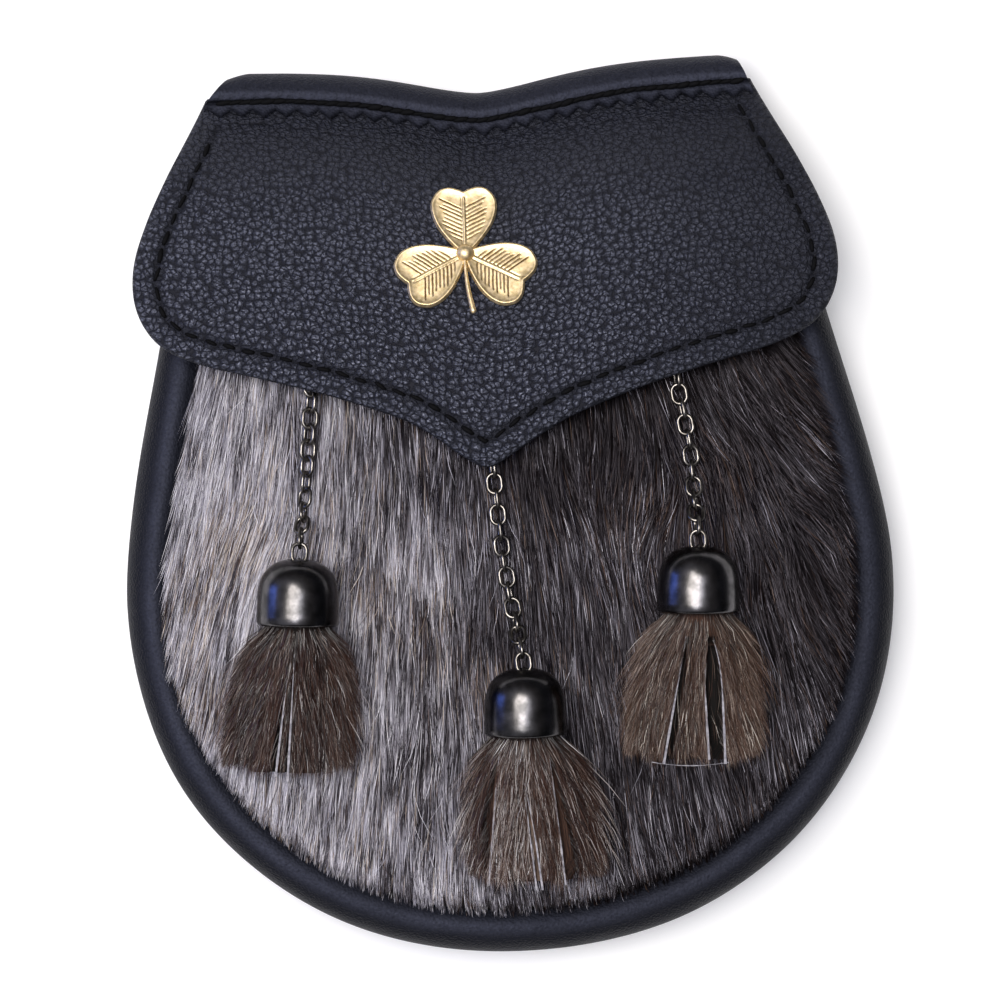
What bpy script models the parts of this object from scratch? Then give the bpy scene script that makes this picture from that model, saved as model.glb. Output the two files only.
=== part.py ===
"""Sporran pouch lying on its back.

The pouch is a hollow leather bag: a flat back panel, a rolled gusset and a fur-covered front
panel, with an arched flap hinged over the mouth by a folded leather strip. A shamrock badge sits
on the flap, and three chains, each held by a staple under the flap, end in a bell cap and a fur
tassel. Two flat loops on the back take the wearer's strap.

Units: every size below is in millimetres, and MM turns them into metres.
Axes: +X to the right of the front, +Y up the pouch, +Z out of its front. The origin is under the
middle of the pouch, on the surface that it lies on.
"""

import math

import bmesh
import bpy
from mathutils import Matrix, Vector

MM = 0.001
GAP = 0.3  # between pieces that touch on the real pouch

# Body outline, seen from the front
BODY_HALF_WIDTH = 90.0
BELLY_Y = -20.6  # height of the widest line
BELLY_DROP = 84.8  # from the widest line down to the lowest point
BELLY_POWER = 2.1  # of the superellipse below the widest line
TAPER = 0.26  # half-width lost per mm of height, well above the widest line
TAPER_ROUND = 21.0  # how softly the taper begins
SHOULDER_Y = 42.0  # above this the body tucks in behind the flap
SHOULDER_TUCK = 0.0021

# Gusset, in section
ROLL_WIDTH = 10.5  # leather roll seen round the fur
ROLL_POWER = 2.5
GUSSET_WALL = 1.8
BACK_SEAM_THICK = 3.6  # turned seam, two thicknesses
BACK_SEAM_FLAT = 3.5  # how far the seam lies inward of the roll
GUSSET_TOP_Y = 81.0
# Depth of the body at each height: (height, depth)
DEPTH_TABLE = (
    (-110.0, 27.0),
    (0.0, 27.0),
    (20.0, 26.8),
    (40.0, 25.2),
    (60.0, 21.4),
    (81.0, 15.4),
    (100.0, 11.0),
)

# Back panel
PANEL_WALL = 2.2
BACK_Z = BACK_SEAM_THICK + GAP
BACK_TOP_BELOW_FOLD = 9.0

# Front panel: hide and dense underfur together
FRONT_THICK = 3.0
FRONT_RISE = 0.5  # of its edge above the gusset's seam
FRONT_DOME = 3.0
FRONT_DOME_HALF_WIDTH = 79.0
FRONT_DOME_HALF_HEIGHT = 75.0
MOUTH_Y = 56.0

# Flap and hinge strip have a frame of their own, turned a little against the body, as sewn
FLAP_ORIGIN = (-2.3, 0.43)
FLAP_TURN_DEG = -1.75
FLAP_WALL = 2.4
# Right-hand edge of the flap from top to tip: (across, up)
FLAP_EDGE = (
    (64.0, 97.0),
    (68.9, 86.9),
    (73.9, 77.1),
    (78.3, 67.6),
    (81.3, 58.3),
    (81.6, 50.0),
    (79.2, 43.0),
    (74.3, 37.7),
    (65.5, 33.7),
    (52.8, 30.2),
    (36.6, 25.5),
    (20.6, 19.7),
    (12.5, 15.2),
    (6.7, 11.2),
    (2.8, 8.7),
    (1.2, 8.0),
    (0.0, 7.8),
)
FLAP_TIP_ASIDE = -1.2  # how far the tip is sewn off the middle
FLAP_TIP_FROM, FLAP_TIP_TO = 21.0, 9.0
# Underside of the flap on its middle line: (distance below the fold's top, height)
FLAP_RISE = (
    (5.0, 13.0),
    (8.0, 13.5),
    (12.0, 15.6),
    (18.0, 20.2),
    (24.0, 24.3),
    (30.0, 27.0),
    (40.0, 30.0),
    (50.0, 32.5),
    (62.0, 34.3),
    (75.0, 35.2),
    (95.0, 35.4),
)
FLAP_ARCH = 4.2  # how far the sides hang below the middle
FLAP_ARCH_HALF_WIDTH = 80.0
FLAP_ARCH_POWER = 2.4
FLAP_ARCH_FROM, FLAP_ARCH_TO = 8.0, 36.0  # below the fold's top

# Fold of the hinge strip: its top line dips in the middle
FOLD_TOP = 103.2
FOLD_DIP = 6.8
FOLD_DIP_HALF_WIDTH = 24.0
FOLD_DIP_POWER = 1.6
# Slanted ends of the strip: half-width at the top of the fold, and what it gains per mm below it
LEFT_END, LEFT_SLANT = 57.6, 0.86
RIGHT_END, RIGHT_SLANT = 60.4, 0.43
STRIP_HALF_WIDTH = 64.4  # where the slant stops
FOLD_CORNER_LENGTH, FOLD_CORNER_DROP = 4.0, 1.2
FOLD_REACH = 5.2  # from the end of the flat parts to the top of the fold
STRIP_WALL = 1.4
STRIP_LIFT = 0.6  # of the strip over the flap, and twice that at its ends
STRIP_FRONT_END = 10.8  # below the fold's top
STRIP_BACK_END = 15.5
FLAP_TOP_BELOW_FOLD = 5.8

# Shamrock badge
BADGE_CENTRE = (-5.0, 57.5)
BADGE_THICK = 1.3
BADGE_REACH = 14.0  # of the leaves from its middle
BADGE_BALL_RADIUS = 2.1
BADGE_STEM_RADIUS = 0.55
BADGE_STEM = ((-0.2, -1.5), (0.0, -7.4), (0.9, -14.4))
# Half of a heart-shaped leaf, from the middle of the badge outwards: (along, across)
LEAF_HALF = (
    (0.4, 1.4),
    (3.0, 3.8),
    (6.0, 6.0),
    (8.6, 7.2),
    (10.9, 7.65),
    (13.2, 7.3),
    (15.3, 5.6),
    (15.9, 3.3),
    (15.3, 1.0),
    (14.8, 0.0),
)
# Each leaf: (name, direction in degrees from +X, length scale)
LEAVES = (("top", 87.7, 1.02), ("left", 205.0, 1.03), ("right", 329.8, 1.03))

# Chains
LINK_LENGTH, LINK_WIDTH, LINK_WIRE = 5.45, 4.25, 0.92
LINK_PITCH = 3.62
LINK_HEIGHT = 2.4  # of the chain's middle above the fur panel
LINK_RISE_FROM, LINK_RISE_TO = 1.0, 15.0  # it comes down from the bell between these distances
LINK_SWAY_DEG = (9.0, -12.0, 5.0, 14.0, -7.0)  # how each link in turn rolls off the square
STAPLE_WIRE = 0.9
STAPLE_SPAN = 2.6

# Bell caps and tassels
BELL_RADIUS, BELL_LENGTH, BELL_WALL = 9.3, 15.4, 0.8
BELL_HOLE_RADIUS = 2.5
BELL_TURN_IN = 0.4  # of its rounded rim
BELL_HEIGHT = 9.65  # of the bell's axis above the fur panel
PIN_RADIUS, PIN_HALF_LENGTH, PIN_DEPTH = 0.55, 4.9, 3.3
# Sections of a tassel: (distance from the bell's top, half-width, half-depth, sink)
TASSEL_SECTIONS = (
    (5.8, 5.4, 5.4, 0.0),
    (9.0, 7.4, 7.4, 0.0),
    (15.4, 7.6, 7.4, 0.0),
    (20.0, 11.0, 7.5, 0.5),
    (27.0, 13.3, 6.9, 1.5),
    (36.0, 14.7, 6.1, 2.6),
    (50.2, 15.6, 5.1, 3.9),
)

# Each drop: (name, bell's top x and y, the bell's lean and how much more the tassel swings, in
# degrees, and the chain's route from its staple towards the bell, as points (x, y))
DROPS = (
    ("left", (-47.9, -9.5), -5.0, -4.0, ((-41.6, 37.0), (-42.9, 27.1), (-45.2, 9.6))),
    ("centre", (2.0, -37.8), -3.0, 3.4, ((-2.4, 19.0), (-2.1, 8.4), (-1.0, -13.3))),
    ("right", (43.7, -12.9), -4.0, -2.9, ((42.3, 36.5), (41.8, 25.5), (43.8, 7.5))),
)

# Press stud that holds the flap shut
STUD_X, STUD_Y, STUD_RADIUS, STUD_WAIST = -1.6, 31.0, 5.0, 4.2

# Strap loops on the back
LOOP_X, LOOP_Y = 38.0, 58.0
LOOP_WIDTH, LOOP_HALF_LENGTH, LOOP_WALL = 13.0, 17.0, 1.2
LOOP_FOOT, LOOP_RAMP = 5.0, 3.0
LOOP_Z = 0.2

# Mesh density
OUTLINE_STEP = 9.0
# Rings of a sheet, as shares of the way from its middle to its outline
FRONT_RINGS = (0.25, 0.5, 0.7, 0.87, 1.0)
FLAP_RINGS = (0.2, 0.4, 0.58, 0.72, 0.83, 0.92, 1.0)
FLAP_MIDDLE = 56.0
SPIN_STEPS = 18
LINK_BENDS, LINK_SIDES = 8, 5

BLACK_LEATHER = ("black_leather", (0.018, 0.019, 0.025), 0.5, 0.0)
PEBBLED_LEATHER = ("pebbled_leather", (0.020, 0.021, 0.028), 0.55, 0.0)
GREY_FUR = ("grey_fur", (0.16, 0.15, 0.15), 0.8, 0.0)
BROWN_FUR = ("brown_fur", (0.09, 0.06, 0.045), 0.8, 0.0)
BRASS = ("gilt_brass", (0.75, 0.55, 0.28), 0.35, 1.0)
GUNMETAL = ("gunmetal", (0.18, 0.18, 0.19), 0.25, 1.0)


# ---------------------------------------------------------------- numbers and curves


def smooth(start, end, value):
    """0 before start, 1 after end, and an easy curve between."""
    share = min(1.0, max(0.0, (value - start) / (end - start)))
    return share * share * (3 - 2 * share)


def read_table(table, at):
    """Value of a two-column table at a place, on a smooth curve through its rows."""
    last = len(table) - 1
    at = min(max(at, table[0][0]), table[last][0])
    row = 0
    while row < last - 1 and at > table[row + 1][0]:
        row += 1

    def slope(i):
        low, high = table[max(i - 1, 0)], table[min(i + 1, last)]
        return (high[1] - low[1]) / (high[0] - low[0])

    (x0, y0), (x1, y1) = table[row], table[row + 1]
    span = x1 - x0
    t = (at - x0) / span
    return (
        y0 * (2 * t**3 - 3 * t**2 + 1)
        + slope(row) * span * (t**3 - 2 * t**2 + t)
        + y1 * (3 * t**2 - 2 * t**3)
        + slope(row + 1) * span * (t**3 - t**2)
    )


def curve_through(points, steps):
    """Points of a smooth curve through the given ones, with that many steps in each stretch."""
    found = []
    last = len(points) - 1
    for i in range(last):
        before, here = Vector(points[max(i - 1, 0)]), Vector(points[i])
        there, after = Vector(points[i + 1]), Vector(points[min(i + 2, last)])
        for step in range(steps):
            t = step / steps
            found.append(
                0.5
                * (
                    2 * here
                    + (there - before) * t
                    + (2 * before - 5 * here + 4 * there - after) * t * t
                    + (3 * here - before - 3 * there + after) * t**3
                )
            )
    return [*found, Vector(points[last])]


def even_points(points, step):
    """The same line with points about a step apart, ends kept."""
    lengths = [0.0]
    for a, b in zip(points, points[1:]):
        lengths.append(lengths[-1] + (b - a).length)
    count = max(2, round(lengths[-1] / step))
    found = []
    segment = 0
    for k in range(count + 1):
        wanted = lengths[-1] * k / count
        while segment < len(points) - 2 and lengths[segment + 1] < wanted:
            segment += 1
        share = (wanted - lengths[segment]) / (lengths[segment + 1] - lengths[segment])
        found.append(points[segment].lerp(points[segment + 1], min(1.0, share)))
    return found


# ---------------------------------------------------------------- the pouch's surfaces


def body_half_width(y):
    if y <= BELLY_Y:
        share = min(1.0, (BELLY_Y - y) / BELLY_DROP)
        return BODY_HALF_WIDTH * (1 - share**BELLY_POWER) ** (1 / BELLY_POWER)
    taper = TAPER * (math.hypot(y - BELLY_Y, TAPER_ROUND) - TAPER_ROUND)
    return BODY_HALF_WIDTH - taper - SHOULDER_TUCK * max(0.0, y - SHOULDER_Y) ** 2


def body_line(top_y, inset, step=OUTLINE_STEP):
    """(points, outward normals) round the body, from its right top to its left top."""
    dense = []
    sides = 60
    for k in range(sides):
        y = top_y + (BELLY_Y - top_y) * k / sides
        dense.append(Vector((body_half_width(y), y)))
    for k in range(sides + 1):
        turn = math.pi / 2 * k / sides
        x = BODY_HALF_WIDTH * math.cos(turn) ** (2 / BELLY_POWER)
        y = BELLY_Y - BELLY_DROP * math.sin(turn) ** (2 / BELLY_POWER)
        dense.append(Vector((x, y)))
    dense += [Vector((-p.x, p.y)) for p in reversed(dense[:-1])]
    line = even_points(dense, step)
    normals = []
    for k in range(len(line)):
        along = line[min(k + 1, len(line) - 1)] - line[max(k - 1, 0)]
        normals.append(Vector((-along.y, along.x)).normalized())
    return [p - n * inset for p, n in zip(line, normals)], normals


def body_depth(y):
    return read_table(DEPTH_TABLE, y)


def fur_height(x, y):
    """Top of the front panel."""
    spread = (x / FRONT_DOME_HALF_WIDTH) ** 2 + ((y - BELLY_Y) / FRONT_DOME_HALF_HEIGHT) ** 2
    return body_depth(y) + FRONT_RISE + FRONT_DOME * max(0.0, 1 - spread)


def fold_top(across):
    """Top line of the hinge strip's fold, in the flap's frame, with no rounding at its ends."""
    return FOLD_TOP - FOLD_DIP * math.exp(-((abs(across) / FOLD_DIP_HALF_WIDTH) ** FOLD_DIP_POWER))


def flap_height(across, below):
    """Underside of the flap, at a distance below the fold's top line."""
    arch = FLAP_ARCH * smooth(FLAP_ARCH_FROM, FLAP_ARCH_TO, below)
    share = (abs(across) / FLAP_ARCH_HALF_WIDTH) ** FLAP_ARCH_POWER
    return read_table(FLAP_RISE, below) - arch * share


def from_flap(across, up):
    """A place in the flap's frame, in the body's."""
    turned = Matrix.Rotation(math.radians(FLAP_TURN_DEG), 2) @ Vector((across, up))
    return turned + Vector(FLAP_ORIGIN)


def to_flap(x, y):
    turn = Matrix.Rotation(math.radians(-FLAP_TURN_DEG), 2)
    return turn @ (Vector((x, y)) - Vector(FLAP_ORIGIN))


def flap_height_at(x, y):
    across, up = to_flap(x, y)
    return flap_height(across, fold_top(across) - up)


# ---------------------------------------------------------------- making objects


def material(finish):
    name, colour, roughness, metallic = finish
    found = bpy.data.materials.get(name)
    if found:
        return found
    found = bpy.data.materials.new(name)
    found.use_nodes = True
    shader = found.node_tree.nodes["Principled BSDF"]
    shader.inputs["Base Color"].default_value = (*colour, 1.0)
    shader.inputs["Roughness"].default_value = roughness
    shader.inputs["Metallic"].default_value = metallic
    return found


def add_object(name, points, faces, finish, sharp_deg=35.0):
    """An object from points in millimetres, with its faces turned outwards."""
    mesh = bpy.data.meshes.new(name)
    mesh.from_pydata([Vector(p) * MM for p in points], [], faces)
    work = bmesh.new()
    work.from_mesh(mesh)
    bmesh.ops.recalc_face_normals(work, faces=work.faces)
    work.to_mesh(mesh)
    work.free()
    mesh.shade_smooth()
    mesh.set_sharp_from_angle(angle=math.radians(sharp_deg))
    mesh.materials.append(material(finish))
    made = bpy.data.objects.new(name, mesh)
    bpy.context.scene.collection.objects.link(made)
    return made


def add_sweep(name, rings, finish, closed_path=False, sharp_deg=35.0):
    """A solid through rings of points, with flat ends unless the path closes."""
    width = len(rings[0])
    points = [p for ring in rings for p in ring]
    count = len(rings)
    faces = []
    for i in range(count if closed_path else count - 1):
        here, there = i * width, (i + 1) % count * width
        for k in range(width):
            after = (k + 1) % width
            faces.append((here + k, here + after, there + after, there + k))
    if not closed_path:
        faces.append(tuple(range(width)))
        faces.append(tuple(range((count - 1) * width, count * width)))
    return add_object(name, points, faces, finish, sharp_deg)


def add_sheet(name, outline, centre, shares, low, high, finish):
    """A curved sheet: the outline drawn in towards its centre, at low(x, y) and high(x, y)."""
    outline = [Vector(p) for p in outline]
    centre = Vector(centre)
    flat = [centre.lerp(p, share) for share in shares for p in outline]
    flat.append(centre)
    count, middle = len(outline), len(flat) - 1
    points = [(p.x, p.y, high(p.x, p.y)) for p in flat]
    points += [(p.x, p.y, low(p.x, p.y)) for p in flat]
    faces = []
    for side in (0, len(flat)):
        for k in range(count):
            after = (k + 1) % count
            faces.append((side + middle, side + k, side + after))
            for ring in range(len(shares) - 1):
                here, there = side + ring * count, side + (ring + 1) * count
                faces.append((here + k, there + k, there + after, here + after))
    rim = (len(shares) - 1) * count
    for k in range(count):
        after = (k + 1) % count
        faces.append((rim + k, rim + after, rim + after + len(flat), rim + k + len(flat)))
    return add_object(name, points, faces, finish)


def join_into(base, others):
    """Unites the others with the base, and hides them."""
    for other in others:
        joined = base.modifiers.new(f"with_{other.name}", "BOOLEAN")
        joined.operation = "UNION"
        joined.solver = "EXACT"
        joined.object = other
        other.hide_render = True
        other.display_type = "WIRE"


# ---------------------------------------------------------------- the bag


def gusset_section(depth):
    """(outward, height) round the wall: its outer side, the back seam's flat, its inner side."""
    steps = 7
    inner_width = ROLL_WIDTH - GUSSET_WALL
    middle = (depth - GUSSET_WALL + BACK_SEAM_THICK) / 2
    inner_half = (depth - GUSSET_WALL - BACK_SEAM_THICK) / 2
    outer, inner = [], []
    for k in range(steps + 1):
        turn = math.pi / 2 - math.pi * k / steps
        across = max(0.0, math.cos(turn)) ** (2 / ROLL_POWER)
        rise = math.copysign(abs(math.sin(turn)) ** (2 / ROLL_POWER), turn)
        outer.append((ROLL_WIDTH * (across - 1), depth / 2 * (1 + rise)))
        inner.append((inner_width * across - ROLL_WIDTH, middle + inner_half * rise))
    seam = -ROLL_WIDTH - BACK_SEAM_FLAT
    return [*outer, (seam, 0.0), (seam, BACK_SEAM_THICK), *reversed(inner)]


def make_gusset():
    line, normals = body_line(GUSSET_TOP_Y, 0.0)
    rings = []
    for p, n in zip(line, normals):
        section = gusset_section(body_depth(p.y))
        rings.append([(p.x + n.x * out, p.y + n.y * out, z) for out, z in section])
    add_sweep("gusset", rings, BLACK_LEATHER)


def make_front_panel():
    line, _ = body_line(MOUTH_Y, ROLL_WIDTH + GAP)
    right, left = line[0], line[-1]
    across = 10
    mouth = [left.lerp(right, k / across) for k in range(1, across)]
    add_sheet(
        "front_panel",
        line + mouth,
        (0.0, BELLY_Y + 10),
        FRONT_RINGS,
        lambda x, y: fur_height(x, y) - FRONT_THICK,
        fur_height,
        GREY_FUR,
    )


def make_back_panel():
    line, _ = body_line(GUSSET_TOP_Y, ROLL_WIDTH + GAP)
    half = 54.0
    steps = 16
    top = []
    for k in range(steps + 1):
        across = -half + 2 * half * k / steps
        top.append(from_flap(across, fold_top(across) - BACK_TOP_BELOW_FOLD))
    add_sheet(
        "back_panel",
        line + top,
        (0.0, 0.0),
        (1.0,),
        lambda x, y: BACK_Z,
        lambda x, y: BACK_Z + PANEL_WALL,
        BLACK_LEATHER,
    )


# ---------------------------------------------------------------- the flap and its hinge


def make_flap():
    half = even_points(curve_through(FLAP_EDGE, 8), OUTLINE_STEP * 0.7)
    corner = FLAP_EDGE[0][0]
    steps = 14
    edge = [(p.x, p.y) for p in half]
    edge += [(-p.x, p.y) for p in reversed(half[:-1])]
    edge = [(x + FLAP_TIP_ASIDE * smooth(FLAP_TIP_FROM, FLAP_TIP_TO, y), y) for x, y in edge]
    for k in range(1, steps):
        across = -corner + 2 * corner * k / steps
        edge.append((across, fold_top(across) - FLAP_TOP_BELOW_FOLD))
    add_sheet(
        "flap",
        [from_flap(*p) for p in edge],
        from_flap(0.0, FLAP_MIDDLE),
        FLAP_RINGS,
        flap_height_at,
        lambda x, y: flap_height_at(x, y) + FLAP_WALL,
        PEBBLED_LEATHER,
    )


def fold_section(across, end):
    """(distance below the fold's top, height) round the strip: outer side, then inner side."""
    back_outer, back_inner = BACK_SEAM_THICK - STRIP_WALL, BACK_SEAM_THICK
    corner = 1 - (end - abs(across)) / FOLD_CORNER_LENGTH
    drop = FOLD_CORNER_DROP * max(0.0, corner) ** 1.6
    lift = STRIP_LIFT * (1 + (across / end) ** 6)
    front_steps, turn_steps = 3, 8
    sides = []
    for wall, back in ((STRIP_WALL, back_outer), (0.0, back_inner)):
        side = []
        for k in range(front_steps):
            below = STRIP_FRONT_END + (FOLD_REACH - STRIP_FRONT_END) * k / front_steps
            side.append((below, flap_height(across, below) + FLAP_WALL + lift + wall))
        front = flap_height(across, FOLD_REACH) + FLAP_WALL + lift + wall
        reach = FOLD_REACH - drop - STRIP_WALL + wall
        for k in range(turn_steps + 1):
            turn = math.pi / 2 - math.pi * k / turn_steps
            height = (front + back) / 2 + (front - back) / 2 * math.sin(turn)
            side.append((FOLD_REACH - reach * math.cos(turn), height))
        side.append((STRIP_BACK_END, back))
        sides.append(side)
    return sides[0] + sides[1][::-1]


def make_hinge_strip():
    stations = 22
    rings = []
    for k in range(stations + 1):
        share = math.sin(math.pi / 2 * (2 * k / stations - 1))
        end, slant = (LEFT_END, LEFT_SLANT) if share < 0 else (RIGHT_END, RIGHT_SLANT)
        across = end * share
        top = fold_top(across)
        ring = []
        for below, height in fold_section(across, end):
            half = min(end + slant * max(0.0, below), STRIP_HALF_WIDTH)
            place = from_flap(half * share, top - below)
            ring.append((place.x, place.y, height))
        rings.append(ring)
    add_sweep("hinge_strip", rings, BLACK_LEATHER)


def make_flap_stud():
    turns = [2 * math.pi * k / SPIN_STEPS for k in range(SPIN_STEPS)]
    circle = [Vector((math.cos(t), math.sin(t))) for t in turns]
    rim = [Vector((STUD_X, STUD_Y)) + p * STUD_RADIUS for p in circle]
    low = max(fur_height(*p) for p in rim) + GAP
    high = min(flap_height_at(*p) for p in rim) - 2 * GAP
    rings = []
    for z, radius in ((low, STUD_RADIUS), ((low + high) / 2, STUD_WAIST), (high, STUD_RADIUS)):
        rings.append([(STUD_X + p.x * radius, STUD_Y + p.y * radius, z) for p in circle])
    add_sweep("flap_stud", rings, GUNMETAL)


# ---------------------------------------------------------------- the badge


def badge_frame():
    """Matrix from the badge's own flat frame to the flap's outer face under it."""
    x, y = BADGE_CENTRE
    half = BADGE_REACH
    rise = (flap_height_at(x, y + half) - flap_height_at(x, y - half)) / (2 * half)
    side = (flap_height_at(x + half, y) - flap_height_at(x - half, y)) / (2 * half)
    right = Vector((1.0, 0.0, side)).normalized()
    out = right.cross(Vector((0.0, 1.0, rise))).normalized()
    up = out.cross(right)
    turn = Matrix((right, up, out)).transposed()
    middle = Vector((x, y, flap_height_at(x, y) + FLAP_WALL))
    lift = 0.0
    for k in range(SPIN_STEPS):
        bearing = 2 * math.pi * k / SPIN_STEPS
        for reach in (0.5 * BADGE_REACH, BADGE_REACH):
            p = middle + turn @ Vector((reach * math.cos(bearing), reach * math.sin(bearing), 0))
            lift = max(lift, flap_height_at(p.x, p.y) + FLAP_WALL - p.z)
    return Matrix.Translation(middle + out * (lift + GAP)) @ turn.to_4x4()


def make_badge():
    frame = badge_frame()
    leaves = []
    for name, direction, length in LEAVES:
        half = even_points(curve_through(LEAF_HALF, 6), 2.2)
        edge = [(p.x * length, p.y) for p in half]
        edge += [(p.x * length, -p.y) for p in reversed(half[:-1])]
        turn = Matrix.Rotation(math.radians(direction), 3, "Z")
        rings = []
        for z in (0.0, BADGE_THICK):
            rings.append([frame @ (turn @ Vector((a, c, z))) for a, c in edge])
        leaves.append(add_sweep(f"leaf_{name}", rings, BRASS))
    stem_line = curve_through(BADGE_STEM, 3)
    rings = []
    for k, p in enumerate(stem_line):
        radius = BADGE_STEM_RADIUS * (1.0 + 0.5 * k / len(stem_line))
        turns = [2 * math.pi * j / 8 + 0.2 for j in range(8)]
        middle = Vector((p.x, p.y, radius))
        rings.append(
            [
                frame @ (middle + Vector((radius * math.cos(t), 0.0, radius * math.sin(t))))
                for t in turns
            ]
        )
    stem = add_sweep("leaf_stem", rings, BRASS)
    rings = []
    for k in range(1, 7):
        turn = math.pi * k / 7
        radius = BADGE_BALL_RADIUS * math.sin(turn)
        z = BADGE_THICK * 0.7 - BADGE_BALL_RADIUS * 0.9 * math.cos(turn)
        turns = [2 * math.pi * j / 12 + 0.1 for j in range(12)]
        ring = [Vector((radius * math.cos(t), radius * math.sin(t), max(0.05, z))) for t in turns]
        rings.append([frame @ p for p in ring])
    ball = add_sweep("shamrock_badge", rings[2:], BRASS)
    join_into(ball, [*leaves, stem])


# ---------------------------------------------------------------- chains, bells and tassels


def drop_frame(bell_top, lean_deg):
    """Matrix of a bell: its local -Y runs down its axis, +Z away from the fur."""
    lean = math.radians(lean_deg)
    down = Vector((math.sin(lean), -math.cos(lean)))
    reach = TASSEL_SECTIONS[-1][0]
    x, y = bell_top
    end = Vector(bell_top) + down * reach
    near, far = fur_height(x, y), fur_height(end.x, end.y)
    axis = Vector((down.x * reach, down.y * reach, far - near)).normalized()
    out = (Vector((0.0, 0.0, 1.0)) - axis * axis.z).normalized()
    right = (-axis).cross(out)
    turn = Matrix((right, -axis, out)).transposed().to_4x4()
    return Matrix.Translation(Vector((x, y, near)) + out * BELL_HEIGHT) @ turn


def make_bell(name, frame):
    inner = BELL_RADIUS - BELL_WALL

    def dome(radius, at):
        return radius - math.sqrt(radius * radius - at * at)

    outer_side = [(BELL_HOLE_RADIUS, dome(BELL_RADIUS, BELL_HOLE_RADIUS))]
    for share in (0.5, 0.72, 0.88, 0.97):
        outer_side.append((BELL_RADIUS * share, dome(BELL_RADIUS, BELL_RADIUS * share)))
    outer_side.append((BELL_RADIUS, BELL_RADIUS))
    outer_side.append((BELL_RADIUS, BELL_LENGTH - 1.6))
    outer_side.append((BELL_RADIUS - BELL_TURN_IN * 0.4, BELL_LENGTH - 0.5))
    outer_side.append((BELL_RADIUS - BELL_TURN_IN, BELL_LENGTH))
    inner_side = [(inner - BELL_TURN_IN * 0.5, BELL_LENGTH), (inner, BELL_RADIUS)]
    for share in (0.9, 0.7, 0.45):
        inner_side.append((inner * share, BELL_WALL + dome(inner, inner * share)))
    inner_side.append((BELL_HOLE_RADIUS, BELL_WALL + dome(inner, BELL_HOLE_RADIUS)))
    rings = []
    for k in range(SPIN_STEPS):
        turn = 2 * math.pi * k / SPIN_STEPS
        rings.append(
            [
                frame @ Vector((radius * math.cos(turn), -along, radius * math.sin(turn)))
                for radius, along in outer_side + inner_side
            ]
        )
    add_sweep(f"bell_{name}", rings, GUNMETAL, closed_path=True)


def make_tassel(name, frame, swing_deg):
    turns = [2 * math.pi * k / SPIN_STEPS for k in range(SPIN_STEPS)]
    rings = []
    for along, half_width, half_depth, sink in TASSEL_SECTIONS:
        aside = max(0.0, along - BELL_LENGTH) * math.tan(math.radians(swing_deg))
        ring = [Vector((half_width * math.cos(t) + aside, -along, 0.0)) for t in turns]
        for p, t in zip(ring, turns):
            p.z = half_depth * math.sin(t) - sink
        rings.append([frame @ p for p in ring])
    add_sweep(f"tassel_{name}", rings, BROWN_FUR)


def make_pin(name, frame):
    """Crossbar inside the bell, through the last link, which the tassel is tied to."""
    rings = []
    for across in (-PIN_HALF_LENGTH, PIN_HALF_LENGTH):
        turns = [2 * math.pi * k / 8 for k in range(8)]
        rings.append(
            [
                frame
                @ Vector(
                    (across, PIN_RADIUS * math.cos(t) - PIN_DEPTH, PIN_RADIUS * math.sin(t))
                )
                for t in turns
            ]
        )
    add_sweep(f"tassel_pin_{name}", rings, GUNMETAL)


def chain_line(frame, route):
    """The chain's middle line: over the fur, up to the hole in the bell and a little way in."""
    top = frame.translation
    points = []
    for place in even_points(curve_through([*route, top.to_2d()], 8), LINK_PITCH):
        away = (place - top.to_2d()).length
        rise = (BELL_HEIGHT - LINK_HEIGHT) * (1 - smooth(LINK_RISE_FROM, LINK_RISE_TO, away))
        points.append((place.x, place.y, fur_height(place.x, place.y) + LINK_HEIGHT + rise))
    points[-1] = top
    last_link = PIN_DEPTH + PIN_RADIUS + GAP - LINK_LENGTH / 2 + LINK_WIRE
    points.append(frame @ Vector((0.0, -last_link, 0.0)))
    return even_points(curve_through(points, 8), 0.3)


def link_ring(middle, along, roll):
    """Rings of one link: a wire bent to a long loop round its middle."""
    flat = Vector((0.0, 0.0, 1.0))
    side = along.cross(flat).normalized()
    out = side.cross(along)
    across = side * math.cos(roll) + out * math.sin(roll)
    normal = along.cross(across)
    wire = LINK_WIRE / 2
    half_width = LINK_WIDTH / 2 - wire
    straight = LINK_LENGTH / 2 - wire - half_width
    rings = []
    for k in range(LINK_BENDS):
        turn = 2 * math.pi * (k + 0.5) / LINK_BENDS
        outward = along * math.cos(turn) + across * math.sin(turn)
        centre = middle + outward * half_width
        centre += along * math.copysign(straight, math.cos(turn))
        ring = []
        for j in range(LINK_SIDES):
            bend = 2 * math.pi * j / LINK_SIDES
            ring.append(centre + (outward * math.cos(bend) + normal * math.sin(bend)) * wire)
        rings.append(ring)
    return rings


def make_chain(name, frame, route):
    """Links along the route, each hooked into the next; returns the first one's place."""
    line = chain_line(frame, route)
    length = sum((b - a).length for a, b in zip(line, line[1:]))
    count = round(length / LINK_PITCH)
    twist = 0.0 if count % 2 else 90.0
    middles = even_points(line, length / count)
    links = []
    for k, middle in enumerate(middles):
        ahead, behind = middles[min(k + 1, count)], middles[max(k - 1, 0)]
        along = (ahead - behind).normalized()
        sway = LINK_SWAY_DEG[k % len(LINK_SWAY_DEG)] if 0 < k < count else 0.0
        roll = math.radians(90.0 * k + twist * k / count + sway)
        link_name = f"link_{name}_{k}" if k else f"chain_{name}"
        rings = link_ring(middle, along, roll)
        links.append(add_sweep(link_name, rings, GUNMETAL, closed_path=True))
    join_into(links[0], links[1:])
    return middles[0], (middles[1] - middles[0]).normalized()


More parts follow.
